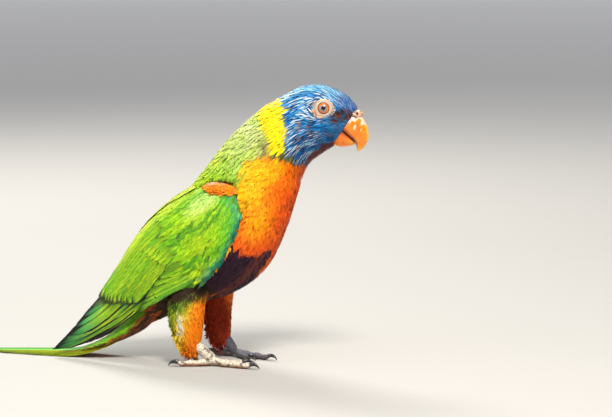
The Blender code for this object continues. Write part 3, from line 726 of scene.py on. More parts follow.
def mesh_piece(name, points, faces, colours, material, uvs, vane_uvs=None):
    """A mesh object from arrays: points in draft millimetres, a flat list of corners with the
    number of corners of each face, a colour, a place on the unwrap and on the vane for each point."""
    corners, sizes = faces
    mesh = bpy.data.meshes.new(name)
    mesh.vertices.add(len(points))
    mesh.vertices.foreach_set("co", to_model(points).astype(np.float32).ravel())
    mesh.loops.add(len(corners))
    mesh.loops.foreach_set("vertex_index", corners.astype(np.int32))
    mesh.polygons.add(len(sizes))
    mesh.polygons.foreach_set("loop_start", face_starts(sizes).astype(np.int32))
    mesh.polygons.foreach_set("loop_total", sizes.astype(np.int32))
    mesh.update(calc_edges=True)
    mesh.polygons.foreach_set("use_smooth", np.ones(len(sizes), bool))
    set_uvs(mesh, "OFBake", uvs, corners)
    if vane_uvs is not None:
        set_uvs(mesh, "Vane", vane_uvs, corners)
    attribute = mesh.color_attributes.new("Plumage", "FLOAT_COLOR", "POINT")
    values = np.concatenate([np.clip(colours, 0, 1), np.ones((len(points), 1))], axis=1)
    attribute.data.foreach_set("color", values.astype(np.float32).ravel())
    mesh.materials.append(material)
    obj = add_to_scene(name, mesh)
    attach(obj, "root")
    return obj


def ring_faces(rows, columns, capped=True):
    """Faces of a grid whose rows are closed rings, with flat ends where it is capped."""
    r, c = np.meshgrid(np.arange(rows - 1), np.arange(columns), indexing="ij")
    this, after = r * columns + c, r * columns + (c + 1) % columns
    corners = np.stack([this, after, after + columns, this + columns], 2).ravel()
    sizes = np.full(this.size, 4)
    if capped:
        ends = np.arange(columns)
        corners = np.concatenate([corners, ends[::-1], (rows - 1) * columns + ends])
        sizes = np.append(sizes, [columns, columns])
    return corners, sizes


def grid_uvs(rows, across, low=0.02, high=0.98):
    """The unwrap of a grid: its columns at given shares across, its rows from low to high."""
    v, u = np.meshgrid(np.linspace(low, high, rows), across, indexing="ij")
    return np.stack([u, v], axis=2)


def ring_piece(name, points, colour, material, uvs=None, capped=True, turned=False, vane=False):
    """A piece from a grid of points whose rows are closed rings."""
    rows, columns = points.shape[:2]
    corners, sizes = ring_faces(rows, columns, capped)
    if turned:
        corners, sizes = corners[::-1], sizes[::-1]
    if uvs is None:
        uvs = grid_uvs(rows, np.arange(columns) / columns)
    flat = points.reshape(-1, 3)
    vane_uvs = flat[:, :2] / 10 if vane else None
    colour = np.broadcast_to(colour, points.shape).reshape(-1, 3)
    return mesh_piece(name, flat, (corners, sizes), colour, material, uvs.reshape(-1, 2), vane_uvs)


# Materials.


def new_material(name, roughness, **sockets):
    material = bpy.data.materials.new(name)
    material.use_nodes = True
    shader = material.node_tree.nodes["Principled BSDF"]
    shader.inputs["Roughness"].default_value = roughness
    for socket, value in sockets.items():
        shader.inputs[socket.replace("_", " ")].default_value = value
    return material, material.node_tree, shader


def add_node(tree, kind, inputs=None, **settings):
    """A node with its settings, and values for its inputs or the outputs that feed them."""
    node = tree.nodes.new(kind)
    for key, value in settings.items():
        setattr(node, key, value)
    for key, value in (inputs or {}).items():
        if isinstance(value, bpy.types.NodeSocket):
            tree.links.new(value, node.inputs[key])
        else:
            node.inputs[key].default_value = value
    return node


def painted(tree, contrast, source, socket):
    """The plumage colour, made lighter and darker by a texture."""
    paint = add_node(tree, "ShaderNodeVertexColor", layer_name="Plumage")
    span = {"From Min": 0.3, "From Max": 0.7, "To Min": 1 - contrast, "To Max": 1 + contrast}
    ramp = add_node(tree, "ShaderNodeMapRange", {"Value": source, **span})
    scaled = {0: paint.outputs["Color"], "Scale": ramp.outputs["Result"]}
    blend = add_node(tree, "ShaderNodeVectorMath", scaled, operation="SCALE")
    tree.links.new(blend.outputs["Vector"], socket)


def grained(tree, shader, source, strength, depth, contrast):
    """Bumps and a change of brightness from a texture."""
    facts = {"Height": source, "Strength": strength, "Distance": depth * MM}
    bump = add_node(tree, "ShaderNodeBump", facts)
    tree.links.new(bump.outputs["Normal"], shader.inputs["Normal"])
    painted(tree, contrast, source, shader.inputs["Base Color"])


BARB_SLANT, BARB_STRETCH = -2.2, (1.0, 0.12, 1.0)


def feather_material(name, roughness, barb_size, barb_depth, contrast, sheen):
    """Barbs slant away from the shaft, as fine ridges with light and dark runs between them."""
    material, tree, shader = new_material(name, roughness, Sheen_Weight=sheen, Sheen_Roughness=0.4)
    shader.inputs["Specular IOR Level"].default_value = 0.25
    uv = add_node(tree, "ShaderNodeUVMap", uv_map="Vane")
    split = add_node(tree, "ShaderNodeSeparateXYZ", {"Vector": uv.outputs["UV"]})
    side, run = split.outputs["X"], split.outputs["Y"]
    width = add_node(tree, "ShaderNodeMath", {0: side}, operation="ABSOLUTE")
    facts = {0: width.outputs["Value"], 1: BARB_SLANT, 2: run}
    slant = add_node(tree, "ShaderNodeMath", facts, operation="MULTIPLY_ADD")
    joined = add_node(tree, "ShaderNodeCombineXYZ", {"X": slant.outputs["Value"], "Y": side})
    facts = {0: joined.outputs["Vector"], 1: BARB_STRETCH}
    stretch = add_node(tree, "ShaderNodeVectorMath", facts, operation="MULTIPLY")
    facts = {"Vector": stretch.outputs["Vector"], "Scale": 10.0 / barb_size, "Detail": 3.0}
    barbs = add_node(tree, "ShaderNodeTexNoise", {**facts, "Roughness": 0.6})
    grained(tree, shader, barbs.outputs["Fac"], 0.5, barb_depth, contrast)
    return material


def skin_material(name, roughness, grain, depth, contrast, **sockets):
    """Skin with a grain of small cells."""
    material, tree, shader = new_material(name, roughness, **sockets)
    place = add_node(tree, "ShaderNodeTexCoord").outputs["Object"]
    cells = add_node(tree, "ShaderNodeTexVoronoi", {"Vector": place, "Scale": 1000.0 / grain})
    grained(tree, shader, cells.outputs["Distance"], 0.6, depth, contrast)
    return material


def horn_material(name, roughness, grain, depth, contrast, **sockets):
    """Horn with soft growth marks."""
    material, tree, shader = new_material(name, roughness, **sockets)
    place = add_node(tree, "ShaderNodeTexCoord").outputs["Object"]
    facts = {"Vector": place, "Scale": 1000.0 / grain, "Detail": 5.0, "Roughness": 0.65}
    marks = add_node(tree, "ShaderNodeTexNoise", facts)
    grained(tree, shader, marks.outputs["Fac"], 0.5, depth, contrast)
    return material


def eye_material(name):
    """Glossy, under a clear coat, with a faint grain in its colours."""
    material, tree, shader = new_material(name, 0.25, Coat_Weight=1.0, Coat_Roughness=0.02)
    place = add_node(tree, "ShaderNodeTexCoord").outputs["Object"]
    facts = {"Vector": place, "Scale": 2500.0, "Detail": 2.0}
    noise = add_node(tree, "ShaderNodeTexNoise", facts)
    painted(tree, 0.1, noise.outputs["Fac"], shader.inputs["Base Color"])
    return material


# Markings of the body.

# Borders of the markings: degrees round from the back, with the station there.
HEAD_EDGE = (
    (0, 6.15),
    (30, 6.12),
    (54, 6.02),
    (72, 6.05),
    (90, 6.15),
    (99, 6.36),
    (130, 6.3),
    (150, 5.6),
    (162, 5.3),
    (180, 5.1),
)
COLLAR_EDGE = (
    (0, 6.97),
    (41, 6.97),
    (66, 6.92),
    (78, 7.02),
    (91, 7.0),
    (100, 6.72),
    (104, 6.4),
    (120, 5.6),
)
BREAST_EDGE = (
    (60, 8.5),
    (72, 8.05),
    (76, 7.82),
    (81, 7.52),
    (88, 7.26),
    (94, 7.1),
    (110, 6.78),
    (130, 6.4),
    (151, 5.7),
    (165, 5.25),
    (180, 5.1),
)
BELLY_EDGE = ((60, 11.2), (90, 10.95), (114, 10.83), (135, 10.7), (151, 10.35), (160, 10.3), (180, 10.9))
# The breast's edge along the side: stations, with the degrees round from the back there.
BREAST_SIDE = (
    (7.0, 72),
    (7.8, 73),
    (8.12, 74.5),
    (8.47, 80),
    (8.75, 85.5),
    (9.3, 91),
    (11.0, 98),
    (13.0, 100),
)


def body_markings(points, station, angle, fray):
    """Colours of the head, neck and torso at stations and angles, fray being a random number for
    each feather that makes the borders uneven."""
    turn = np.degrees(np.abs(angle))
    far = angle > 0
    s = station + fray * 0.05
    broad, fine = ripple(points, 14.0, 3), ripple(points, 4.0, 4)
    run = ripple(triple(turn / 2.4, station * 1.4, angle), 1.0, 5)
    # Back and mantle.
    colour = layers(
        MANTLE,
        (BACK, smooth(8.0, 9.6, s)),
        # Painted highlight: pale lime along the top of the back, where the light falls.
        (PALE_LIME_AND_HIGHLIGHT, 0.75 * smooth(55, 15, turn) * smooth(12.5, 8.5, s)),
        (LIME, 0.6 * smooth(-0.1, 0.6, run)),
        (DEEP_GREEN, 0.5 * smooth(0.3, 0.8, -run) * smooth(7.6, 8.6, s)),
    )
    pale = smooth(9.2, 7.4, s) * smooth(112, 50, turn)
    colour = mix(colour, mix(NAPE, PALE_NAPE, smooth(-0.5, 0.6, run + 0.3 * fray)), pale * 0.9)
    colour = mix(colour, LIME, 0.35 * smooth(0.4, 1.4, fray))
    brownish = bell(turn - 82, 22) * bell(s - 7.05, 0.55)
    colour = mix(colour, NAPE_BROWN, np.clip(brownish * (0.8 + 0.7 * fine), 0, 1))
    under_collar = smooth(88, 97, turn) * smooth(7.25, 6.95, s)
    mottled = mix(COLLAR_BROWN, COLLAR_DARK, smooth(-0.2, 0.6, fine))
    colour = mix(colour, mottled, under_collar * 0.9)
    # Rump.
    colour = mix(colour, DEEP_GREEN, smooth(12.5, 15.0, s) * 0.4)
    # Breast and flanks.
    on_breast = smooth(-0.05, 0.05, s - linear(BREAST_EDGE, turn))
    on_breast = on_breast * smooth(-2, 2, turn + fray * 2 - linear(BREAST_SIDE, s))
    breast = mix(ORANGE, SCARLET, smooth(132, 165, turn + broad * 10) * 0.75)
    breast = mix(breast, SCARLET, smooth(9.4, 10.7, s) * 0.8)
    amber = smooth(130, 96, turn + 8 * broad) * smooth(10.2, 8.4, s)
    low = 0.75 * bell(turn - 124, 13) * bell(s - 9.3, 0.7)
    amber = np.maximum(amber, low)
    breast = mix(breast, AMBER, np.clip(amber * (1.0 + 0.25 * run), 0, 1))
    top_rim = bell(s - linear(BREAST_EDGE, turn), 0.22) * smooth(70, 95, turn)
    breast = mix(breast, ORANGE, top_rim * 0.8)
    colour = mix(colour, breast, on_breast)
    # Belly, with painted shadow in the fold down its middle, and the far flank orange right up to its
    # edge.
    belly_top = linear(BELLY_EDGE, turn)
    on_belly = smooth(-0.06, 0.08, s - belly_top) * smooth(92, 100, turn)
    belly = layers(
        PURPLE,
        (PURPLE_BROWN, bell(turn - 150, 8) * 0.9),
        # Painted shadow: black in the fold down the belly's middle.
        (FEATHER_BLACK_AND_SHADE, smooth(160, 167, turn) * smooth(10.2, 10.6, s)),
        (SCARLET * 0.25, smooth(12.7, 13.7, s + 0.3 * fine)),
    )
    flank = mix(ORANGE, SCARLET, np.clip(0.4 + 0.6 * fine, 0, 1))
    rim = np.where(far, smooth(12.4, 11.8, s), smooth(164, 168, turn + fray) * smooth(11.6, 11.2, s))
    # More painted shadow in the fold, weaker on the far side.
    belly = mix(belly, FEATHER_BLACK_AND_SHADE, smooth(166, 170, turn) * smooth(11.2, 11.5, s) * (1 - 0.7 * far))
    belly = mix(belly, flank, rim)
    colour = mix(colour, belly, on_belly)
    # Painted shade: dark brown behind the thighs and under the wings, with rust streaks.
    behind = smooth(12.4, 13.2, s) * smooth(84, 94, turn)
    lengthwise = ripple(triple(turn / 5, s * 0.9, angle), 1.0, 11)
    shade_and_rust = mix(SHADE_BROWN, RUST, smooth(0.0, 0.6, lengthwise))
    colour = mix(colour, shade_and_rust, behind * 0.95)
    # Collar.
    on_collar = smooth(0.03, -0.03, s - linear(COLLAR_EDGE, turn)) * smooth(112, 106, turn)
    colour = mix(colour, COLLAR, on_collar)
    # Head.
    on_head = smooth(0.04, -0.04, s - linear(HEAD_EDGE, turn))
    head = mix(BLUE, DEEP_BLUE, 0.7 * smooth(0.0, 0.9, fine))
    lower_face = smooth(88, 108, turn) * smooth(0.5, 1.6, s)
    head = layers(
        head,
        (DEEP_BLUE, lower_face * np.clip(0.5 + 0.5 * run, 0, 1) * 0.8),
        # Painted highlight on the top of the crown.
        (CROWN_HIGHLIGHT, 0.8 * smooth(48, 10, turn) * smooth(2.2, 3.4, s)),
        (ROYAL_BLUE, smooth(2.9, 1.9, s) * smooth(66, 46, turn) * 0.85),
    )
    tan = smooth(0.35, 0.7, ripple(triple(turn / 5, station * 2.2, angle), 1.0, 6))
    tan = tan * smooth(66, 80, turn) * smooth(140, 120, turn) * smooth(2.9, 3.8, s)
    head = mix(head, TAN, tan * 0.75)
    lore = bell(turn - 56 - 14 * (s - 1.2), 19) * bell(s - 1.5, 1.2, 4)
    lore = np.clip(lore * 1.6 + 0.15 * fine, 0, 1) * smooth(0.15, 0.4, lore)
    speck = ripple(points, 1.3, 12)
    lore = lore * np.clip(0.95 + 0.35 * speck, 0.6, 1)
    head = mix(head, mix(LORE, RUST * 0.8, 0.6 * smooth(0.3, 0.9, speck)), lore)
    corner = bell(turn - 58 + 12 * (4.3 - s), 3.0) * bell(s - 4.1, 0.5, 4)
    head = mix(head, DEEP_BLUE * 0.25, corner * 0.9)
    throat_edge = linear(((0, 142), (1.2, 130), (3, 140), (4.5, 150), (5.3, 158), (6, 172)), s)
    throat = smooth(-5, 5, turn + 5 * fine - throat_edge)
    head = mix(head, THROAT, throat)
    colour = mix(colour, head, on_head)
    return colour, on_head * (1 - throat) * (1 - lore)


def flock(surface, rows, step_of):
    """Roots in rows across a surface, half a step apart from row to row and a little uneven.
    rows are row indices, and step_of gives the distance between roots in millimetres at a row."""
    all_i, all_j = [], []
    columns = surface.points.shape[1]
    place = np.arange(0, columns, 1.0)
    for number, row in enumerate(rows):
        row_i = np.full(columns, float(row))
        steps = surface.read(surface.column_size, row_i, place)[:, 0] / step_of(row_i)
        total = np.concatenate([[0], np.cumsum(steps)])
        count = max(int(total[-1]), 3)
        marks = (np.arange(count) + 0.5 * (number % 2)) / count * total[-1]
        marks = marks + rng.normal(0, 0.12, count)
        all_i.append(np.full(count, float(row)))
        all_j.append(np.interp(marks, total, np.append(place, columns)))
    i, j = np.concatenate(all_i), np.concatenate(all_j)
    spacing = np.gradient(np.array(rows, float)).mean()
    i = i + rng.normal(0, 0.16, len(i)) * spacing
    return i, j


def body_flock(body, station, last, row_step, step):
    """Roots on the body from a station to the last, with steps from row to row and along a row
    that change with the station."""
    rows = []
    while station < last:
        rows.append(station * BODY_ROWS_A_STATION)
        station += row_step(station)
    return flock(body, np.array(rows), lambda i: linear(step, i / BODY_ROWS_A_STATION))


def eye_flow(i, j):
    """Headings that part round the eye and meet behind it, and the distance from the eye's middle,
    in lengths of its bare ring."""
    station, angle, turn = body_place(i, j)
    x = (station - EYE_STATION) * 8.6 / EYE_RING_LENGTH
    y = (turn - EYE_TURN) * 0.30 / EYE_RING_HEIGHT
    distance = np.hypot(x, y)
    theta = np.arctan2(y, x)
    pull = 1 / np.maximum(distance, 1.0) ** 2
    heading = np.arctan2(-pull * np.sin(2 * theta), 1.0 - pull * np.cos(2 * theta) + 0.05)
    return heading * np.sign(angle), distance


def make_head_coat(body, material):
    """Narrow feathers of the head, smallest at the bill, parted round the eye."""
    feather_steps = ((0, 1.3), (1.5, 1.5), (3.5, 2.2), (6, 2.6))
    station_sizes = ((0, 5.0), (2, 9.0), (3, 10.5), (6, 12.5))

    def row_step(station):
        return linear(feather_steps, station) / linear(station_sizes, station)

    i, j = body_flock(body, 0.02, 6.75, row_step, ((0, 0.8), (1.5, 0.9), (3, 1.2), (6, 1.45)))
    heading, ring = eye_flow(i, j)
    station, _, turn = body_place(i, j)
    keep = (ring > 0.97) & (station < linear(HEAD_EDGE, turn) + 0.45)
    i, j, heading, ring = i[keep], j[keep], heading[keep], ring[keep]
    station, angle, turn = body_place(i, j)
    count = len(i)
    fray, tone = rng.normal(size=count), rng.normal(size=count)
    length = linear(((0, 2.8), (1.5, 3.8), (3.5, 6.6), (6, 8.4)), station)
    length = length * (1 + 0.14 * rng.normal(size=count)) * (1 - 0.3 * smooth(1.5, 1.0, ring))
    width = linear(((0, 0.52), (1.5, 0.6), (3, 0.78), (6, 0.98)), station)
    end_i, end_j = tip_place(body, i, j, heading, length * 0.75)
    end_station, end_angle, end_turn = body_place(end_i, end_j)
    place = body.at(end_i, end_j)
    colour, streaked = body_markings(place, end_station, end_angle, fray)
    on_head = smooth(0.1, -0.1, end_station - linear(HEAD_EDGE, end_turn))
    flow = ripple(triple(turn / 3.4, station * 0.8, angle), 1.0, 7)
    strength = linear(((0, 0.3), (1.8, 0.4), (2.6, 0.7), (3.5, 1), (6, 1)), station)
    strength = strength * (1 - 0.55 * smooth(40, 62, turn) * smooth(3.2, 2.2, station))
    streak = np.clip(0.62 + 1.3 * flow + 0.45 * rng.normal(size=count), 0, 1) * strength
    pale = mix(PALE_BLUE, WHITE_BLUE, smooth(0.0, 0.8, rng.random(count))) * 1.15
    pale = mix(pale, PALE_TAN, (rng.random(count) < 0.3) * smooth(75, 95, turn) * smooth(3, 4, station))
    speckled = smooth(108, 122, turn) * smooth(2.6, 3.8, station)
    return feathers(
        "head_coat",
        body,
        Pattern(6, 4, LANCE, 0.3, last=0.22),
        material,
        BODY_BAND,
        paint=head_paint,
        i=i,
        j=j,
        heading=heading + rng.normal(0, 0.07, count),
        length=length * (1 - 0.35 * speckled),
        half_width=width * (1 + 0.1 * rng.normal(size=count)),
        low=-0.25,
        high=linear(COAT_DEPTH, station) + 0.1 + 0.18 * rng.random(count),
        camber=0.42,
        bow=rng.normal(0, 0.02, count),
        ragged=0.02,
        tone=tone,
        streak=streak * on_head * (0.25 + 0.75 * streaked),
        streaked=streaked,
        colour=colour,
        pale=pale,
    )


def make_body_coat(body, material):
    """The coat from the collar back, in three pieces, of which the first is nape and mantle."""
    def row_step(station):
        return linear(((6, 2.4), (9, 3.0), (16, 3.4)), station) / 17

    i, j = body_flock(body, 6.05, LAST_STATION - 0.1, row_step, ((6, 1.5), (9, 2.1), (16, 2.4)))
    station, _, turn = body_place(i, j)
    hidden = under_wing(body.at(i, j))
    keep = ~hidden & (station > linear(HEAD_EDGE, turn) + 0.1)
    i, j = i[keep], j[keep]
    station, _, turn = body_place(i, j)
    count = len(i)
    fray, tone = rng.normal(size=count), rng.normal(size=count)
    place = body.at(i, j)
    heading = 0.16 * ripple(place, 13.0, 8) + rng.normal(0, 0.07, count)
    length = linear(((6, 8.0), (8, 11.0), (12, 14.0), (16, 15.0)), station)
    length = length * (1 + 0.14 * rng.normal(size=count))
    end_i, end_j = tip_place(body, i, j, heading, length * 0.72)
    end_station, end_angle, _ = body_place(end_i, end_j)
    place = body.at(end_i, end_j)
    flecks = smooth(125, 150, turn) * (station < 10.5) * (station > 5.5)
    mantle = (turn < 92) & (station < 12)
    roots = dict(
        i=i,
        j=j,
        heading=heading,
        length=length,
        half_width=linear(((6, 1.35), (9, 2.1), (16, 2.5)), station) * (1 - 0.15 * mantle),
        low=-0.3,
        high=linear(COAT_DEPTH, station) + 0.05 + 0.22 * rng.random(count),
        camber=0.14,
        bow=rng.normal(0, 0.03, count),
        ragged=0.07 + 0.03 * mantle,
        tone=tone,
        tip=(rng.random(count) < 0.1 * flecks) * 0.9,
        strands=0.14,
        # Painted shade at the roots, with less of it on the mantle.
        deep=np.where(mantle, 0.2, 0.36),
        colour=body_markings(place, end_station, end_angle, fray)[0],
    )
    soft, round_ended = Pattern(7, 6, SOFT, 0.42, last=0.3), Pattern(7, 8, SPOON, 0.35, last=0.24)
    pieces = []
    groups = [np.flatnonzero(mantle), *np.array_split(np.flatnonzero(~mantle), 2)]
    for number, chosen in enumerate(groups):
        pattern = round_ended if number else soft
        share = {key: x[chosen] if np.ndim(x) else x for key, x in roots.items()}
        pieces.append(feathers(f"body_coat_{number}", body, pattern, material, BODY_BAND, **share))
    return pieces


def thigh_markings(side_name, points, fray):
    """The near thigh goes from olive above and behind to orange in front, with a white fleck and painted
    shadow at its top, and the far one is painted a deeper red, as in shade, with an orange front edge."""
    x = points[:, 0] - THIGHS[side_name][3, 0]
    z = points[:, 2]
    fine = ripple(points, 4.0, 9)
    if side_name == "right":
        colour = layers(
            YELLOW,
            (ORANGE * np.array((1, 1.25, 1)), smooth(-3, 5, x - (z - 24) * 0.25 + fray)),
            (OLIVE, smooth(-2, 10, (z - 30) - x * 0.9 + 2 * fine + fray)),
            (DEEP_GREEN * 0.6, smooth(0.5, 0.9, fine) * smooth(28, 36, z) * 0.8),
            # Painted shadow at the thigh's top, under the wing.
            (SHADE_BROWN, smooth(37, 42, z - 0.3 * x + fray)),
            (EMERALD, smooth(-5.5, -8.5, x + fray) * smooth(32, 20, z)),
            (TEAL, smooth(-6.5, -8.5, x + fray) * smooth(26, 18, z) * 0.8),
        )
        white = bell(x + 2.0 - (z - 27) * 0.1, 1.4) * bell(z - 27.0, 4.0)
        white = white * (points[:, 1] < -20) * (1 + 0.5 * fray)
        return mix(colour, srgb(244, 242, 238), np.clip(white * 1.6, 0, 1))
    # The far thigh is painted a darker red, as in shade.
    colour = mix(SHADED_FAR_THIGH, VENT, 0.5 + 0.5 * fine) * 1.25
    return mix(colour, ORANGE, smooth(6.0, 8.5, x + fray * 0.6))


def make_thigh_coat(side_name, surface, material):
    """Loose feathers down to the ankle, fluffed out behind."""
    last_row = THIGH_ROWS - 1
    i, j = flock(surface, np.arange(4.0, last_row, 3.2), lambda i: 1.2)
    count = len(i)
    place = surface.at(np.minimum(i + 10, last_row), j)
    fray = rng.normal(size=count)
    share = i / last_row
    turn = np.degrees(np.abs((j / THIGH_COLUMNS - 0.5) * math.tau))
    behind = smooth(100, 150, turn) * smooth(0.25, 0.6, share)
    heading = rng.normal(0, 0.12, count)
    length = linear(((0, 9.5), (0.7, 8.0), (1, 5.5)), share)
    length = length * (1 + 0.18 * rng.normal(size=count)) * (1 + 0.4 * behind)
    loose = 0.4 + (2.8 + 3.2 * smooth(0.5, 0.8, share)) * behind
    return feathers(
        f"thigh_coat_{side_name}",
        surface,
        Pattern(6, 5, SOFT, 0.4, last=0.28),
        material,
        THIGH_BANDS[side_name],
        i=i,
        j=j,
        heading=heading,
        length=length,
        half_width=linear(((0, 1.4), (1, 0.85)), share),
        low=-0.3,
        high=THIGH_DEPTH + 0.1 + loose * rng.random(count),
        camber=0.15,
        bow=rng.normal(0, 0.04, count),
        ragged=0.14,
        tone=rng.normal(size=count),
        deep=0.22,
        colour=thigh_markings(side_name, place, fray),
    )


# Wings.


def wing_markings(points, along, rise, fray):
    """Green, with a painted highlight of pale lime along the top and of pale green on the upper coverts,
    teal and blue round the bend and along the front edge.
    """
    fine, broad = ripple(points, 3.5, 14), ripple(points, 15.0, 15)
    lie = wing_lie(along, rise)
    across = rise * np.cos(lie) - along * np.sin(lie)
    run = ripple(triple(across / 1.6, along / 12, 0.0), 1.0, 16)
    colour = layers(
        GREEN,
        (EMERALD, smooth(0.0, 0.9, broad) * 0.3),
        (LIME, np.clip(0.32 + 0.4 * run + 0.25 * broad + 0.06 * fray, 0, 0.85)),
        (DEEP_GREEN, 0.5 * smooth(0.3, 0.8, -run)),
        # Painted highlight: pale lime along the wing's top, where the light falls.
        (PALE_LIME_AND_HIGHLIGHT, smooth(22, 34, rise + fray) * 0.7),
    )
    edge = along - linear(((-24, 31), (-14, 9), (-5, 1), (4, -3), (12, -3), (24, 4)), rise)
    colour = mix(colour, EMERALD, smooth(20, 7, edge + fray) * smooth(14, 2, rise) * 0.6)
    inset = rise - front_edge(along)
    teal = smooth(9, 2.5, edge + fray * 1.5) * smooth(13, 5, rise) * smooth(-14, -4, rise)
    teal = np.maximum(teal, smooth(6, 1.5, inset + fray) * smooth(60, 40, along))
    colour = mix(colour, TEAL, teal * 0.75)
    blue = smooth(6.0, 1.5, edge + fray * 1.5) * smooth(11, 6, rise) * smooth(-8, -1, rise)
    colour = mix(colour, WING_BLUE, np.clip(blue * (0.2 + 0.7 * fine), 0, 0.6))
    dark_edge = smooth(4.5, 1.0, inset) * smooth(4, 12, along) * smooth(60, 44, along)
    colour = mix(colour, srgb(8, 74, 66), dark_edge * 0.8)
    fleck = 0.75 * (fray > 1.5) * bell(along - 2, 5) * bell(rise + 1, 6)
    colour = mix(colour, srgb(226, 236, 226), fleck)
    # Painted highlight: a pale green patch on the upper coverts.
    pale = bell(along - 15, 16) * bell(rise - 15, 7)
    pale = np.clip(pale * (0.6 + 0.5 * run), 0, 0.7) * smooth(0.08, 0.4, pale)
    colour = mix(colour, srgb(196, 226, 132), pale)
    dark = (fray > 2.3) * smooth(20, 30, along)
    return mix(colour, srgb(30, 60, 60), dark * 0.8)


def wing_lie(along, rise):
    """Headings on the wing, steeper by the bend and low in front."""
    low = smooth(14, -10, rise)
    return -np.radians((12 + 26 * low) * np.exp(-np.maximum(along, 0) / 26) + 2)


def quadratic(low, middle, high, t):
    """A smooth change from low through middle to high, as t goes from 0 to 1."""
    low, middle, high = (np.array(value, float) for value in (low, middle, high))
    t = t[:, None] if low.ndim else t
    return low * (1 - t) * (1 - 2 * t) + 4 * middle * t * (1 - t) + high * t * (2 * t - 1)


# Fans of a folded wing, each from its lowest feather up: number, roots and tips of the lowest,
# middle and highest, half widths, and height of root and tip with its climb.
WING_FANS = {
    "primary": (
        9,
        ((70, -14), (66, -2), (60, 12)),
        ((158, -0.4), (146, 1.0), (120, 9.5)),
        (4.6, 5.6, 6.2),
        (-1.5, -0.9, 1.0),
    ),
    "primary_covert": (
        7,
        ((32, -20), (30, -17), (30, -9)),
        ((96, -13.6), (88, -12.0), (68, -7.5)),
        (3.2, 3.4, 4.0),
        (-0.6, 0.5, 0.7),
    ),
    "secondary": (
        12,
        ((38, 2), (41, 12), (46, 27)),
        ((94, -8.5), (104, 1.0), (111, 10.0)),
        (4.6, 4.8, 5.6),
        (-0.2, 0.85, 1.0),
    ),
    "tertial": (
        4,
        ((44, 26), (44, 30), (46, 36)),
        ((108, 12.5), (101, 19.0), (86, 28.0)),
        (6.0, 6.0, 5.6),
        (0.7, 1.5, 0.5),
    ),
    "greater_covert": (
        15,
        ((20, -12), (22, 8), (26, 36)),
        ((54, -9.0), (68, 5.0), (74, 26.0)),
        (3.6, 3.8, 4.4),
        (-0.3, 0.25, 1.0),
    ),
    "alula": (
        5,
        ((3, -8), (6, -4), (9, 0)),
        ((53, -22.5), (47, -18), (41, -13)),
        (1.7, 1.9, 2.1),
        (0.3, 0.9, 0.3),
    ),
}


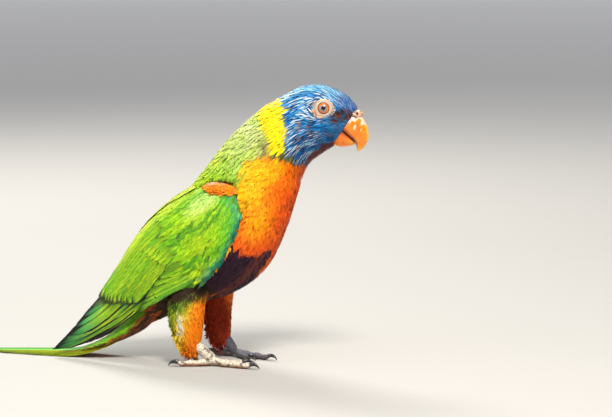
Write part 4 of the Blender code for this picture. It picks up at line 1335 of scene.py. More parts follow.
def flight_paint(kind):
    """How the long feathers of one kind are coloured, by shares along and across."""

    def paint(part, pattern, u, v, noise):
        t = part["t"][:, None]
        tone = (1 + 0.05 * part["tone"][:, None]) * (1 + 0.05 * noise[:, pattern.strand])
        run = ripple(triple(v * 6 + t * 31, u * 4, t * 17), 1.0, 21)
        fine = ripple(triple(v * 9, u * 40 + np.abs(v) * 9, t * 30), 1.6, 22)
        green = mix(GREEN, LIME, np.clip(0.4 + 0.4 * run + 0.3 * fine, 0, 0.95))
        green = mix(green, DEEP_GREEN, 0.45 * smooth(0.3, 0.9, -fine))
        inner = DEEP_GREEN
        if kind == "primary":
            low_ones = smooth(0.6, 0.15, t)
            green = layers(
                EMERALD,
                (GREEN, np.clip(0.55 + 0.3 * run, 0, 1)),
                (LIME, np.clip(0.4 + 0.4 * run + 0.3 * fine, 0, 0.9) * smooth(1.0, 0.6, u)),
                (DEEP_GREEN, np.clip(0.05 + 0.4 * fine, 0, 1) * smooth(0.4, 0.95, u)),
            )
            teal = bell(t - 0.25, 0.07) + smooth(0.55, 0.95, u) * 0.5
            colour = layers(
                green,
                (TEAL, np.clip(teal, 0, 1) * 0.8 * smooth(-0.95, -0.7, v)),
                (LIME, smooth(-0.70, -0.8, v) * (0.3 + 0.6 * low_ones)),
                (NAPE_BROWN * 0.4, smooth(0.8, 1.0, t) * 0.7),
                # The inner vane's black is partly its own colour and partly painted shade under the next
                # feather.
                (FEATHER_BLACK_AND_SHADE, smooth(-0.05, 0.1, v)),
                (FEATHER_BLACK_AND_SHADE, smooth(0.84, 1.0, u + 0.05 * v) * 0.9),
                (FEATHER_BLACK_AND_SHADE, smooth(-0.80, -0.86, v)),
            )
        elif kind == "primary_covert":
            colour = layers(
                green,
                (EMERALD, 0.5 * smooth(0.9, 0.2, t)),
                (inner, smooth(-0.3, 0.4, v) * 0.6),
                (FEATHER_BLACK_AND_SHADE, smooth(-0.88, -0.94, v) * 0.8),
                (FEATHER_BLACK_AND_SHADE, smooth(0.95, 0.98, u) * 0.8),
            )
        elif kind == "alula":
            colour = layers(
                green,
                (TEAL, smooth(-0.2, -0.7, v) * smooth(1.0, 0.3, t) * 0.8),
                (DEEP_GREEN * 0.5, smooth(0.1, 0.5, v) * 0.7),
                (FEATHER_BLACK_AND_SHADE, smooth(-0.9, -0.99, v) * 0.5),
            )
        elif kind == "greater_covert":
            colour = layers(
                green,
                (EMERALD, smooth(0.4, 0.0, t) * 0.4),
                (inner, smooth(-0.1, 0.5, v) * 0.35),
                (inner * 0.6, smooth(-0.86, -0.94, v) * 0.6),
            )
        else:
            colour = layers(
                green,
                (inner, smooth(-0.2, 0.6, v) * 0.5),
                (PALE_LIME_AND_HIGHLIGHT, (kind == "tertial") * smooth(0.2, 1.0, t) * 0.6),
                (PALE_LIME_AND_HIGHLIGHT, smooth(-0.66, -0.78, v) * 0.5),
                (FEATHER_BLACK_AND_SHADE, smooth(-0.84, -0.90, v) * 0.85),
            )
            # Partly the feather's own dark edge, partly a painted contact shadow under the lowest
            # secondaries.
            lowest = smooth(0.14, 0.08, t) * smooth(-0.35, -0.5, v)
            colour = mix(colour, FEATHER_BLACK_AND_SHADE, lowest * (kind == "secondary"))
            # Black tips: partly their own colour, partly painted shadow cast on the primaries below.
            tip = smooth(0.945, 0.97, u + 0.02 * v**2) * (0.9 if kind == "secondary" else 0.25)
            colour = mix(colour, FEATHER_BLACK_AND_SHADE, tip)
        colour = mix(colour, inner * 0.5, bell(v, 0.06) * 0.5 * smooth(0.95, 0.6, u))
        colour = colour * tone[..., None]
        under = mix(FEATHER_BLACK_AND_SHADE * 2.2, srgb(120, 100, 30), 0.15)
        return np.where(pattern.under[None, :, None], under, colour)

    return paint


def make_wing(side_name, flight_material, coat_material):
    """The fans of long feathers, then the small feathers over them and the bed under them."""
    surface = wing_surface(side_name)
    pieces = []
    long_pattern = Pattern(30, 16, BLADE, 0.06, shaft=0.12, thick=0.25)
    short_pattern = Pattern(14, 14, BLADE, 0.16, shaft=0.06, thick=0.18)
    for number, (kind, (count, roots, tips, widths, heights)) in enumerate(WING_FANS.items()):
        t = np.linspace(0, 1, count)
        root = quadratic(*roots, t)
        run = quadratic(*tips, t) - root
        bow = np.full(count, 0.02) + 0.12 * (1 - t) ** 2 * (kind == "secondary")
        i, j = wing_index(root[:, 0], root[:, 1])
        long = kind in ("primary", "secondary", "tertial")
        pattern = long_pattern if long else short_pattern
        piece = feathers(
            f"{kind}_{side_name}",
            surface,
            pattern,
            flight_material,
            WING_BANDS[side_name],
            paint=flight_paint(kind),
            i=i,
            j=j,
            heading=np.arctan2(run[:, 1], run[:, 0]) + rng.normal(0, 0.008, count) - bow,
            length=np.hypot(run[:, 0], run[:, 1]) * (1 + 0.01 * rng.normal(size=count)),
            half_width=np.interp(t, (0, 0.5, 1), widths),
            low=heights[0] + heights[2] * t,
            high=heights[1] + heights[2] * t,
            camber=0.03,
            tilt=0.22 if long else 0.15,
            bow=bow,
            ragged=0.004 if long else 0.02,
            tone=rng.normal(size=count),
            t=t,
        )
        strip_uvs(piece, pattern, count, number)
        pieces.append(piece)
    for make in (make_small_coverts, make_scapulars, make_wing_edge, make_shoulder, make_wing_bed):
        pieces.append(make(side_name, surface, coat_material))
    return pieces


def make_small_coverts(side_name, surface, material):
    """Coverts in rows from the bend back, over the roots of the fans."""
    all_i, all_j, sizes = [], [], []
    along, number = -6.0, 0
    while along < 40:
        size = linear(((-9, 1.8), (5, 2.2), (20, 2.8), (40, 3.6)), along)
        below, above = wing_spans(np.array([along]))
        top = above[0] + 2 - 9 * smooth(3, -8, along)
        rise = np.arange(-below[0] + 0.4 + size * 0.3 * (number % 2), top, size * 0.6)
        all_i.append(along + rng.normal(0, size * 0.3, len(rise)))
        all_j.append(rise + rng.normal(0, size * 0.2, len(rise)))
        sizes.append(np.full(len(rise), size))
        along += size * 0.62
        number += 1
    along, rise, size = (np.concatenate(x) for x in (all_i, all_j, sizes))
    inset = rise - front_edge(along)
    keep = inset > size * 0.3
    along, rise, size, inset = along[keep], rise[keep], size[keep], inset[keep]
    count = len(along)
    fray = rng.normal(size=count)
    heading = wing_lie(along, rise) + rng.normal(0, 0.06, count)
    length = size * 3.9 * (1 + 0.15 * rng.normal(size=count))
    low_edge = front_edge(along + np.cos(heading) * length) - 0.2
    rise = rise + np.clip(low_edge - rise - np.sin(heading) * length, 0, None)
    i, j = wing_index(along, rise)
    mid_along = along + np.cos(heading) * length * 0.72
    mid_rise = rise + np.sin(heading) * length * 0.72
    below, above = wing_spans(along)
    share = (rise + below) / (below + above)
    climb = 0.8 * np.clip(share, 0, 1) * smooth(-5, 25, along)
    place = surface.at(i, j)
    return feathers(
        f"wing_coverts_{side_name}",
        surface,
        Pattern(7, 8, SPOON, 0.32, last=0.2),
        material,
        WING_BANDS[side_name],
        i=i,
        j=j,
        heading=heading,
        length=length,
        half_width=size * 0.45,
        low=0.35 + climb - 1.3 * smooth(4, 0, inset),
        high=1.0 + climb + 0.2 * rng.random(count) - 0.5 * smooth(4, 0, inset),
        camber=0.12,
        bow=rng.normal(0, 0.03, count),
        ragged=0.06,
        tone=rng.normal(size=count) * 0.7,
        colour=wing_markings(place, mid_along, mid_rise, fray),
    )


def make_scapulars(side_name, surface, material):
    """Long soft feathers from the shoulder that lie over the wing's top edge."""
    all_i, all_j = [], []
    for number, up in enumerate(np.arange(8.0, -5.5, -1.7)):
        along = np.arange((14.0 if up < 3 else -7.0) + 1.2 * (number % 2), 74.0, 2.4)
        all_i.append(along + rng.normal(0, 0.5, len(along)))
        all_j.append(wing_spans(along)[1] + up + rng.normal(0, 0.4, len(along)))
    along, rise = np.concatenate(all_i), np.concatenate(all_j)
    count = len(along)
    i, j = wing_index(along, rise)
    run = ripple(surface.at(i, j), 4.0, 17)
    above = rise - wing_spans(along)[1]
    colour = layers(
        BACK,
        (PALE_LIME_AND_HIGHLIGHT, np.clip(0.5 + 0.5 * run, 0, 1)),
        (LIME, 0.4),
        # Painted highlight: yellow along the wing's top edge, where the light catches it.
        (TOP_HIGHLIGHT, smooth(-4.0, 0.0, above) * smooth(5.0, 2.0, above) * 0.75),
        (DEEP_GREEN, 0.4 * (rng.random(count) < 0.12)),
    )
    length = linear(((-7, 9.0), (10, 14.0), (74, 26.0)), along) * (1 + 0.1 * rng.normal(size=count))
    lie = -np.radians(linear(((-7, 24), (10, 13), (50, 5)), along))
    return feathers(
        f"scapulars_{side_name}",
        surface,
        Pattern(8, 8, SPOON, 0.35, last=0.2),
        material,
        WING_BANDS[side_name],
        i=i,
        j=j,
        heading=lie + rng.normal(0, 0.05, count),
        length=length,
        half_width=linear(((-7, 1.5), (56, 2.6)), along),
        low=linear(((-7, 1.6), (40, 1.6), (74, 1.2)), along),
        high=linear(((-7, 2.6), (40, 2.4), (74, 1.9)), along) + 0.2 * rng.random(count),
        camber=0.12,
        bow=rng.normal(0, 0.02, count),
        ragged=0.05,
        tone=rng.normal(size=count),
        colour=colour,
    )


def make_wing_edge(side_name, surface, material):
    """A thin line of orange and yellow feathers that shows along the wing's front edge."""
    along = np.repeat(np.arange(7.0, 44.0, 0.8), 2)
    along = along + rng.normal(0, 0.3, len(along))
    count = len(along)
    rise = front_edge(along) + 0.8 + 0.03 * (along - 7) + rng.normal(0, 0.2, count)
    i, j = wing_index(along, rise)
    return feathers(
        f"wing_edge_{side_name}",
        surface,
        Pattern(6, 6, SPOON, 0.35, last=0.24),
        material,
        WING_BANDS[side_name],
        i=i,
        j=j,
        heading=-np.radians(38) + rng.normal(0, 0.1, count),
        length=3.2 * (1 + 0.15 * rng.normal(size=count)),
        half_width=0.6,
        low=-0.9,
        high=-0.4 + 0.2 * rng.random(count),
        camber=0.15,
        ragged=0.06,
        tone=rng.normal(size=count),
        strands=0.1,
        colour=mix(YELLOW, SCARLET, np.clip(0.55 + 0.3 * rng.normal(size=count), 0, 1)),
    )


# Of the orange tuft, on the wing's face.
SHOULDER_PLACE, SHOULDER_SIZE, SHOULDER_SLOPE = (6.0, 13.0), (8.5, 5.2), 1.1
SHOULDER_FEATHERS = 900


def make_shoulder(side_name, surface, material):
    """The tuft of orange feathers that comes out over the wing's bend."""
    count = SHOULDER_FEATHERS
    angle, reach = rng.uniform(0, math.tau, count), np.sqrt(rng.uniform(0, 1, count))
    x, y = np.cos(angle) * reach, np.sin(angle) * reach
    along = SHOULDER_PLACE[0] + SHOULDER_SIZE[0] * x
    rise = SHOULDER_PLACE[1] + SHOULDER_SIZE[1] * y + SHOULDER_SLOPE * (along - SHOULDER_PLACE[0])
    i, j = wing_index(along, rise)
    order = np.argsort(along)
    x, y, i, j = x[order], y[order], i[order], j[order]
    place = surface.at(i, j)
    colour = mix(TUFT_ORANGE, SCARLET, np.clip(0.2 * ripple(place, 3.0, 18), 0, 1))
    colour = mix(colour, AMBER, 0.4 * smooth(0.2, 0.9, ripple(place, 2.0, 19)))
    shine = bell(x - 0.1, 0.42) * bell(y - 0.4, 0.22)
    dome = np.clip(1 - x**2 - y**2, 0, 1)
    return feathers(
        f"shoulder_{side_name}",
        surface,
        Pattern(6, 5, LANCE, 0.35, last=0.24),
        material,
        WING_BANDS[side_name],
        i=i,
        j=j,
        heading=np.radians(38) + rng.normal(0, 0.18, count),
        length=(3.4 + 1.6 * dome) * (1 + 0.2 * rng.normal(size=count)),
        half_width=0.5,
        low=0.9 + 1.9 * dome,
        high=1.7 + 2.1 * dome + 0.5 * rng.random(count),
        camber=0.2,
        bow=rng.normal(0, 0.03, count),
        ragged=0.05,
        tone=rng.normal(size=count) * 1.2,
        strands=0.25,
        deep=0.2,
        colour=mix(colour, TUFT_SHINE, np.clip(shine * 1.1, 0, 0.9)),
    )


# Strips on the unwrap: enough across for the fan with the most feathers, and enough up for the
# two faces of every fan.
STRIP_COLUMNS, STRIP_ROWS = 15, 12
STRIP_WIDTH, STRIP_LENGTH = 0.84, 0.9  # of a feather, as shares of its strip


def strip_uvs(piece, pattern, count, row):
    """Gives each long feather a strip of its own on the unwrap, as its colour changes along it."""
    column = np.repeat(np.arange(count), pattern.count)
    u = 0.5 + np.tile(pattern.v, count) * STRIP_WIDTH / 2
    v = 0.5 + (np.tile(pattern.u, count) - 0.5) * STRIP_LENGTH
    lower = np.tile(pattern.under, count)
    uvs = np.stack([(column + u) / STRIP_COLUMNS, (row * 2 + lower + v) / STRIP_ROWS], axis=1)
    corners = np.zeros(len(piece.data.loops), np.int32)
    piece.data.loops.foreach_get("vertex_index", corners)
    set_uvs(piece.data, "OFBake", uvs, corners)


def make_wing_bed(side_name, surface, material):
    """The fleshy arm and the bed of the feathers, a lens that follows the wing's face."""
    first, last, rows, columns = 2.0, 76.0, 70, 40
    shares = np.linspace(0.0, 0.96, columns)
    lens = np.sqrt(np.clip(1 - (2 * shares - 1) ** 8, 0, 1))
    rings = []
    for along in np.linspace(first, last, rows):
        out = (along - first) / (last - first)
        above = wing_spans(np.array([along]))[1][0]
        start = front_edge(np.array([along]))[0] + 1.5
        rise = start + shares * max(above - start, 1.0)
        middle = -0.3 - 1.9 * out
        depth = 1.4 + 5.8 * math.sin(math.pi * (0.2 + 0.8 * out))
        i, j = wing_index(np.full(columns, along), rise)
        upper = surface.place(i, j, middle + lens)
        lower = surface.place(i, j, middle - lens * depth)
        rings.append(np.concatenate([upper, lower[::-1]]))
    across = np.arange(2 * columns) / (2 * columns)
    return ring_piece(
        f"wing_bed_{side_name}",
        np.array(rings),
        np.where((across < 0.5)[None, :, None], GREEN * 0.5, ORANGE * 0.6),
        material,
        grid_uvs(rows, across * 0.98 + 0.01, 0.01, 0.99),
        turned=SIDES[side_name] > 0,
        vane=True,
    )


# Tail.


def tail_paint(part, pattern, u, v, noise):
    outward = v * np.sign(part["side"][:, None])
    fine = ripple(triple(v * 4, u * 70 + v * 9, part["side"][:, None] * 9), 1.6, 31)
    green = mix(EMERALD, GREEN, np.clip(0.4 + 0.4 * fine, 0, 1))
    colour = layers(
        green,
        (LIME, smooth(0.6, 0.95, outward) * 0.8),
        (DEEP_GREEN, smooth(0.1, -0.5, outward) * 0.7),
        (TEAL, smooth(0.55, 1.0, u) * 0.35),
        (FEATHER_BLACK_AND_SHADE, bell(v, 0.07) * 0.6),
    )
    under = mix(srgb(140, 120, 16), srgb(190, 80, 10), smooth(0.75, 0.2, u))
    under = mix(under, srgb(70, 60, 14), smooth(0.0, -0.8, outward) * 0.6)
    return np.where(pattern.under[None, :, None], under, colour)


def make_tail_feathers(material):
    """Six pairs of feathers, the middle pair longest and on top."""
    number = np.arange(2 * TAIL_PAIRS)
    pair, left = number // 2, number % 2
    side = 2 * left - 1
    lower = pair + 0.5 * left
    tip = TAIL_LENGTH - TAIL_STEP * pair - 0.8 * left
    closing = 1.0 - np.maximum(0.0, (tip - 95.0) / 56.0)
    start = 10.0, side * (0.9 + 0.85 * pair)
    run = tip - start[0], side * (1.2 + 1.0 * pair) - start[1]
    pattern = Pattern(44, 12, POINTED, 0.04, shaft=0.2, thick=0.3)
    tail = feathers(
        "tail_feathers",
        tail_surface(),
        pattern,
        material,
        WHOLE_BAND,
        paint=tail_paint,
        i=np.full(len(number), start[0]),
        j=start[1] - TAIL_COLUMNS_FROM,
        heading=np.arctan2(run[1], run[0]),
        length=np.hypot(*run),
        half_width=5.1 - 0.12 * pair,
        low=0.25 - 0.5 * lower,
        high=0.2 - 0.5 * lower * closing,
        side=side * (pair + 1),
        camber=0.02,
        ragged=0.004,
    )
    strip_uvs(tail, pattern, len(number), 0)
    return tail


def make_tail(flight_material, coat_material):
    """The tail's feathers, the coverts round its base and the core under them."""
    tail = make_tail_feathers(flight_material)
    base = tail_base_surface()
    i, j = flock(base, np.arange(0.0, 84.0, 3.4), lambda i: 1.6)
    count = len(i)
    angle = np.abs(j / TAIL_BASE_COLUMNS - 0.5) * 360
    place = base.at(i, j)
    colour = mix(BACK, GREEN, 0.5 + 0.5 * ripple(place, 4.0, 33))
    lengthwise = ripple(triple(angle / 7, i / 24, place[:, 1] / 9), 1.0, 34)
    # Painted shade: the underside of the tail's base is dark brown, with rust and olive streaks.
    under = mix(SHADE_BROWN * 1.3, RUST, smooth(-0.2, 0.5, lengthwise))
    under = mix(under, OLIVE, 0.7 * smooth(0.1, 0.9, -lengthwise) * smooth(20, 70, i))
    coat = feathers(
        "tail_coverts",
        base,
        Pattern(8, 6, SPOON, 0.3),
        coat_material,
        TAIL_BAND,
        i=i,
        j=j,
        heading=rng.normal(0, 0.07, count),
        length=13.0 * (1 + 0.1 * rng.normal(size=count)),
        half_width=1.7,
        low=-0.2,
        high=linear(((0, 0.5), (84, 0.25)), i) + 0.15 * rng.random(count),
        camber=0.1,
        bow=rng.normal(0, 0.02, count),
        ragged=0.04,
        tone=rng.normal(size=count),
        colour=mix(colour, under, smooth(72, 96, angle)),
    )
    across = np.arange(TAIL_BASE_COLUMNS) / TAIL_BASE_COLUMNS * 0.98 + 0.01
    core = ring_piece(
        "tail_core",
        base.points - base.normals * 0.4,
        BACK * 0.5,
        coat_material,
        grid_uvs(TAIL_BASE_ROWS, across, 0.01, 0.99),
        vane=True,
    )
    return [tail, coat, core]


# Skin.


def nearest(points, grids):
    """For each point, the number of the grid and the row and column of the nearest grid point."""
    tree = KDTree(sum(len(grid.points[::4, ::4].reshape(-1, 3)) for grid in grids))
    keys = []
    for number, grid in enumerate(grids):
        some = grid.points[::4, ::4]
        for r in range(some.shape[0]):
            for c in range(some.shape[1]):
                tree.insert(some[r, c], len(keys))
                keys.append((number, r * 4, c * 4))
    tree.balance()
    keys = np.array(keys)
    return keys[[tree.find(point)[1] for point in points]]


SKIN_GRID = 0.9  # size of the skin's faces
SKIN_SMOOTHINGS, SKIN_SMOOTHING = 6, 0.5


def remeshed(surfaces):
    """Surfaces joined into one closed mesh and smoothed: its points, corners and corner counts."""
    shells = []
    for number, surface in enumerate(surfaces):
        corners, sizes = ring_faces(*surface.points.shape[:2])
        mesh = bpy.data.meshes.new(f"shell_{number}")
        faces = [corners[a : a + n].tolist() for a, n in zip(face_starts(sizes), sizes)]
        mesh.from_pydata((surface.points * MM).reshape(-1, 3).tolist(), [], faces)
        shells.append(add_to_scene(f"skin_shell_{number}", mesh))
    joined = shells[0]
    with bpy.context.temp_override(
        active_object=joined, object=joined, selected_editable_objects=shells
    ):
        bpy.ops.object.join()
    remesh = joined.modifiers.new("remesh", "REMESH")
    remesh.mode = "VOXEL"
    remesh.voxel_size = SKIN_GRID * MM
    relax = joined.modifiers.new("relax", "SMOOTH")
    relax.iterations = SKIN_SMOOTHINGS
    relax.factor = SKIN_SMOOTHING
    graph = bpy.context.evaluated_depsgraph_get()
    mesh = bpy.data.meshes.new_from_object(joined.evaluated_get(graph))
    bpy.data.objects.remove(joined)
    points = np.zeros(len(mesh.vertices) * 3)
    mesh.vertices.foreach_get("co", points)
    corners = np.zeros(len(mesh.loops), int)
    mesh.loops.foreach_get("vertex_index", corners)
    sizes = np.zeros(len(mesh.polygons), int)
    mesh.polygons.foreach_get("loop_total", sizes)
    return points.reshape(-1, 3) / MM, (corners, sizes)


def make_skin(body, thighs, material):
    """One skin from the crown to the ankles, marked like the feathers over it but darker."""
    surfaces = [body, *thighs.values()]
    points, faces = remeshed(surfaces)
    grid, i, j = nearest(points, surfaces).T
    colour, uvs = np.zeros((len(points), 3)), np.zeros((len(points), 2))
    chosen = grid == 0
    station, angle, _ = body_place(i, j)
    marked, _ = body_markings(points, station, angle, np.zeros(len(points)))
    ring = eye_flow(i.astype(float), j.astype(float))[1]
    marked = mix(marked * 0.55, CREAM * 0.8, smooth(1.12, 0.98, ring))
    colour[chosen] = marked[chosen]
    uvs[chosen, 0] = 0.01 + 0.59 * (j / BODY_COLUMNS)[chosen]
    uvs[chosen, 1] = 0.01 + 0.98 * (i / (LAST_STATION * BODY_ROWS_A_STATION))[chosen]
    for number, side_name in enumerate(thighs):
        chosen = grid == number + 1
        colour[chosen] = thigh_markings(side_name, points[chosen], np.zeros(chosen.sum())) * 0.5
        uvs[chosen, 0] = 0.62 + 0.19 * number + 0.18 * (j[chosen] / THIGH_COLUMNS)
        uvs[chosen, 1] = 0.6 + 0.39 * (i[chosen] / THIGH_ROWS)
    return mesh_piece("skin", points, faces, colour, material, uvs)


# Eyes, bill, cere.


EYE_COLUMNS, LID_COLUMNS = 96, 80
EYE_BLACK, EYE_PALE, EYE_ORANGE = np.array((0.003, 0.003, 0.004)), srgb(150, 148, 144), srgb(236, 112, 26)
EYE_EDGE, LID_DARK, LID_PALE = srgb(84, 32, 14), srgb(60, 42, 38), srgb(220, 200, 180)


def make_eye(side_name):
    """The eyeball's front: black pupil, pale inner ring, orange iris with fine spokes."""
    side = SIDES[side_name]
    aim, centre = unit(on_side(EYE_AIM, side)), on_side(EYE_CENTRE, side)
    helper = unit(np.cross(aim, UP))
    other = np.cross(aim, helper)
    polar = np.radians(np.concatenate([np.linspace(0, 62, 90), np.linspace(66, 178, 30)]))
    around = turns(EYE_COLUMNS)
    bulge = 1 + 0.035 * bell(np.degrees(polar), 38, 4)
    radius = (EYE_RADIUS - 0.15) * bulge
    rim = np.sin(polar) * radius
    points = (
        centre
        + aim * (np.cos(polar) * radius)[:, None, None]
        + helper * (rim[:, None] * np.cos(around))[..., None]
        + other * (rim[:, None] * np.sin(around))[..., None]
    )
    spoke = rng.normal(size=EYE_COLUMNS)
    spoke = (spoke + np.roll(spoke, 1)) / 2
    r = rim[:, None] + 0.04 * spoke[None]
    spoke = spoke[None, :, None]
    colour = layers(
        EYE_BLACK,
        (EYE_PALE * (1 + 0.15 * spoke), smooth(1.3, 1.5, r)),
        (LID_DARK, bell(r - 2.08, 0.16) * 0.85),
        (EYE_ORANGE * (1 + 0.2 * spoke), smooth(2.08, 2.3, r)),
        (EYE_EDGE, smooth(3.0, 3.35, r) * 0.95),
    )
    front = np.degrees(polar) < 64
    colour = np.where(front[:, None, None], colour, srgb(90, 70, 60))
    out = np.linspace(0.02, 0.48, len(polar))[:, None]
    uvs = np.stack([0.5 + out * np.cos(around), 0.5 + out * np.sin(around)], axis=2)
    material = eye_material(f"eye_{side_name}")
    eye = ring_piece(f"eyeball_{side_name}", points, colour, material, uvs)
    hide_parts(f"eye_{side_name}")


# From the eyeball outwards: distance from the eye's axis, and height over the eyeball.
LID_PROFILE = (
    (3.36, 0.0),
    (3.44, 0.40),
    (3.62, 0.60),
    (3.86, 0.50),
    (4.10, 0.56),
    (4.36, 0.42),
    (4.62, 0.44),
    (4.90, 0.22),
    (5.25, -0.35),
    (5.60, -1.1),
)


def make_lids(side_name, material):
    """A thin dark edge round the eyeball and a soft fold of cream skin outside it."""
    side = SIDES[side_name]
    aim, centre = unit(on_side(EYE_AIM, side)), on_side(EYE_CENTRE, side)
    forward = unit(np.cross(aim, UP)) * side
    upward = np.cross(forward, aim) * side
    around = turns(LID_COLUMNS)
    rings, colours = [], []
    for number, (radius, rise) in enumerate(LID_PROFILE):
        stretch = 1 + 0.10 * (radius - 3.4) / 2.0 * np.abs(np.cos(around)) ** 3
        wobble = 1 + 0.012 * np.sin(around * 14) * (number > 2)
        sphere = math.sqrt(max(EYE_RADIUS**2 - radius**2, 0.0)) if radius < 3.6 else 2.6
        rings.append(
            centre
            + aim * (sphere + rise)
            + forward * (radius * stretch * wobble * np.cos(around))[:, None]
            + upward * (radius * wobble * np.sin(around))[:, None]
        )
        pale = (LID_PALE if number < 6 else CREAM) * (0.5 if number in (3, 5, 7) else 0.95)
        tone = LID_DARK if number < 2 else pale
        shade = 1 + 0.25 * np.sin(around * 31 + number * 2.1) * (number > 1)
        colours.append(tone[None] * shade[:, None])
    name = f"lids_{side_name}"
    return ring_piece(name, np.array(rings), np.array(colours), material, capped=False)


def make_ring_feathers(body, side_name, material):
    """Tiny cream feathers in rings round the eye, pointing away from it and back."""
    side = SIDES[side_name]
    i0, j0 = (np.array([x]) for x in body_index(EYE_STATION, math.radians(EYE_TURN) * side))
    row_size, column_size = (body.read(x, i0, j0)[0, 0] for x in (body.row_size, body.column_size))
    all_x, all_y, all_heading, all_scale = [], [], [], []
    for number, scale in enumerate((0.66, 0.74, 0.82, 0.90, 0.98)):
        count = 34 + 15 * number
        angle = turns(count, 0.5 * (number % 2) / count) + rng.normal(0, 0.03, count)
        all_x.append(np.cos(angle) * EYE_RING_LENGTH * scale)
        all_y.append(np.sin(angle) * EYE_RING_HEIGHT * scale)
        all_scale.append(np.full(count, scale))
        all_heading.append(np.arctan2(np.sin(angle) * 0.8, np.cos(angle) * 0.8 + 0.55))
    x, y, heading, scale = (np.concatenate(a) for a in (all_x, all_y, all_heading, all_scale))
    count = len(x)
    tone = rng.normal(size=count)
    colour = mix(CREAM, srgb(224, 208, 190), smooth(0.84, 0.7, scale))
    spots = (rng.random(count) < 0.3 + 0.25 * smooth(0.8, 0.95, scale)) * smooth(0.68, 0.8, scale)
    colour = mix(colour, srgb(92, 66, 62), spots * 0.8)
    low_rim = (y > EYE_RING_HEIGHT * 0.3) & (np.hypot(x / EYE_RING_LENGTH, y / EYE_RING_HEIGHT) < 0.8)
    warm = low_rim & (rng.random(count) < 0.6)
    return feathers(
        f"eye_ring_{side_name}",
        body,
        Pattern(4, 3, SPOON, 0.4),
        material,
        BODY_BAND,
        i=i0 + x / row_size,
        j=j0 + side * y / column_size,
        heading=heading * side,
        length=1.5,
        half_width=0.42,
        low=0.05,
        high=0.62,
        camber=0.3,
        ragged=0.01,
        tone=tone,
        colour=np.where(warm[:, None], srgb(214, 120, 60), colour),
    )


BILL_ROWS, BILL_COLUMNS = 90, 64


def make_bill(name, table, crest_columns, edge_columns, material, paint):
    """Half ovals over the lines from the left edge to the right, by way of the crest."""
    at = np.linspace(0, len(table) - 1, BILL_ROWS)
    row = between(table, at)
    crest, edge = (
        triple(row[:, columns[0]], 0.0, row[:, columns[1]])
        for columns in (crest_columns, edge_columns)
    )
    angle = np.linspace(0, math.pi, BILL_COLUMNS)
    lift = np.sin(angle) ** BILL_ROUNDNESS
    points = (
        edge[:, None]
        + (crest - edge)[:, None] * lift[None, :, None]
        + ACROSS * (row[:, 4:5] * np.cos(angle))[..., None]
    )
    colour = paint(points, (at / (len(table) - 1))[:, None], angle[None])
    uvs = grid_uvs(BILL_ROWS, np.linspace(0.02, 0.98, BILL_COLUMNS))
    bill = ring_piece(f"{name}_horn", points, colour, material, uvs)
    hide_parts(name)


BILL_ORANGE, BILL_YELLOW, BILL_RED = srgb(255, 132, 0), srgb(255, 186, 30), srgb(224, 72, 4)


def upper_paint(points, t, angle):
    crest = np.sin(angle)
    fine = ripple(points, 2.5, 51)
    colour = layers(
        BILL_ORANGE,
        (BILL_RED, np.clip(0.15 + 0.25 * fine, 0, 1) * smooth(0.9, 0.2, t)),
        (BILL_YELLOW, smooth(0.86, 0.98, crest) * smooth(0.05, 0.3, t)),
        (BILL_YELLOW, smooth(0.62, 0.95, t) * 0.8),
    )
    growth = np.sin(t * 95 + 3 * ripple(points, 6.0, 54)) * smooth(0.9, 0.3, t)
    colour = colour * (1 + 0.05 * growth[..., None])
    chips = smooth(0.55, 0.75, ripple(points, 1.3, 55)) * smooth(0.2, 0.5, t)
    colour = mix(colour, srgb(255, 206, 120), chips * 0.3)
    flakes = smooth(0.30, 0.24, t + 0.16 * ripple(points, 2.4, 53)) * smooth(0.25, 0.5, crest)
    colour = mix(colour, srgb(250, 228, 196), flakes)
    colour = mix(colour, srgb(255, 232, 190), smooth(0.94, 1.0, t) * 0.75)
    cracks = flakes * smooth(0.35, 0.6, np.abs(ripple(points, 1.1, 56)))
    colour = mix(colour, srgb(206, 112, 56), cracks * 0.6)
    # Painted shade along the mouth line, where the two halves of the bill meet.
    return mix(colour, BILL_RED * 0.25, smooth(0.2, 0.0, crest) * 0.95 * smooth(1.0, 0.8, t))


def lower_paint(points, t, angle):
    crest = np.sin(angle)
    fine = ripple(points, 2.5, 52)
    colour = layers(
        BILL_ORANGE,
        (BILL_RED, np.clip(0.1 + 0.25 * fine, 0, 1)),
        (BILL_YELLOW, smooth(0.5, 0.95, t) * 0.5),
        (BILL_YELLOW, smooth(0.8, 1.0, crest) * 0.4),
    )
    colour = colour * (1 + 0.04 * np.sin(t * 70 + 3 * ripple(points, 5.0, 57)))[..., None]
    # Painted shade along the mouth line, where the two halves of the bill meet.
    return mix(colour, BILL_RED * 0.4, smooth(0.2, 0.0, crest) * 0.7)


CERE_CREAM, CERE_PINK = srgb(238, 208, 182), srgb(214, 150, 112)
CERE_DARK, CERE_BROWN, NOSTRIL_DARK = srgb(84, 46, 40), srgb(110, 58, 42), srgb(70, 14, 10)


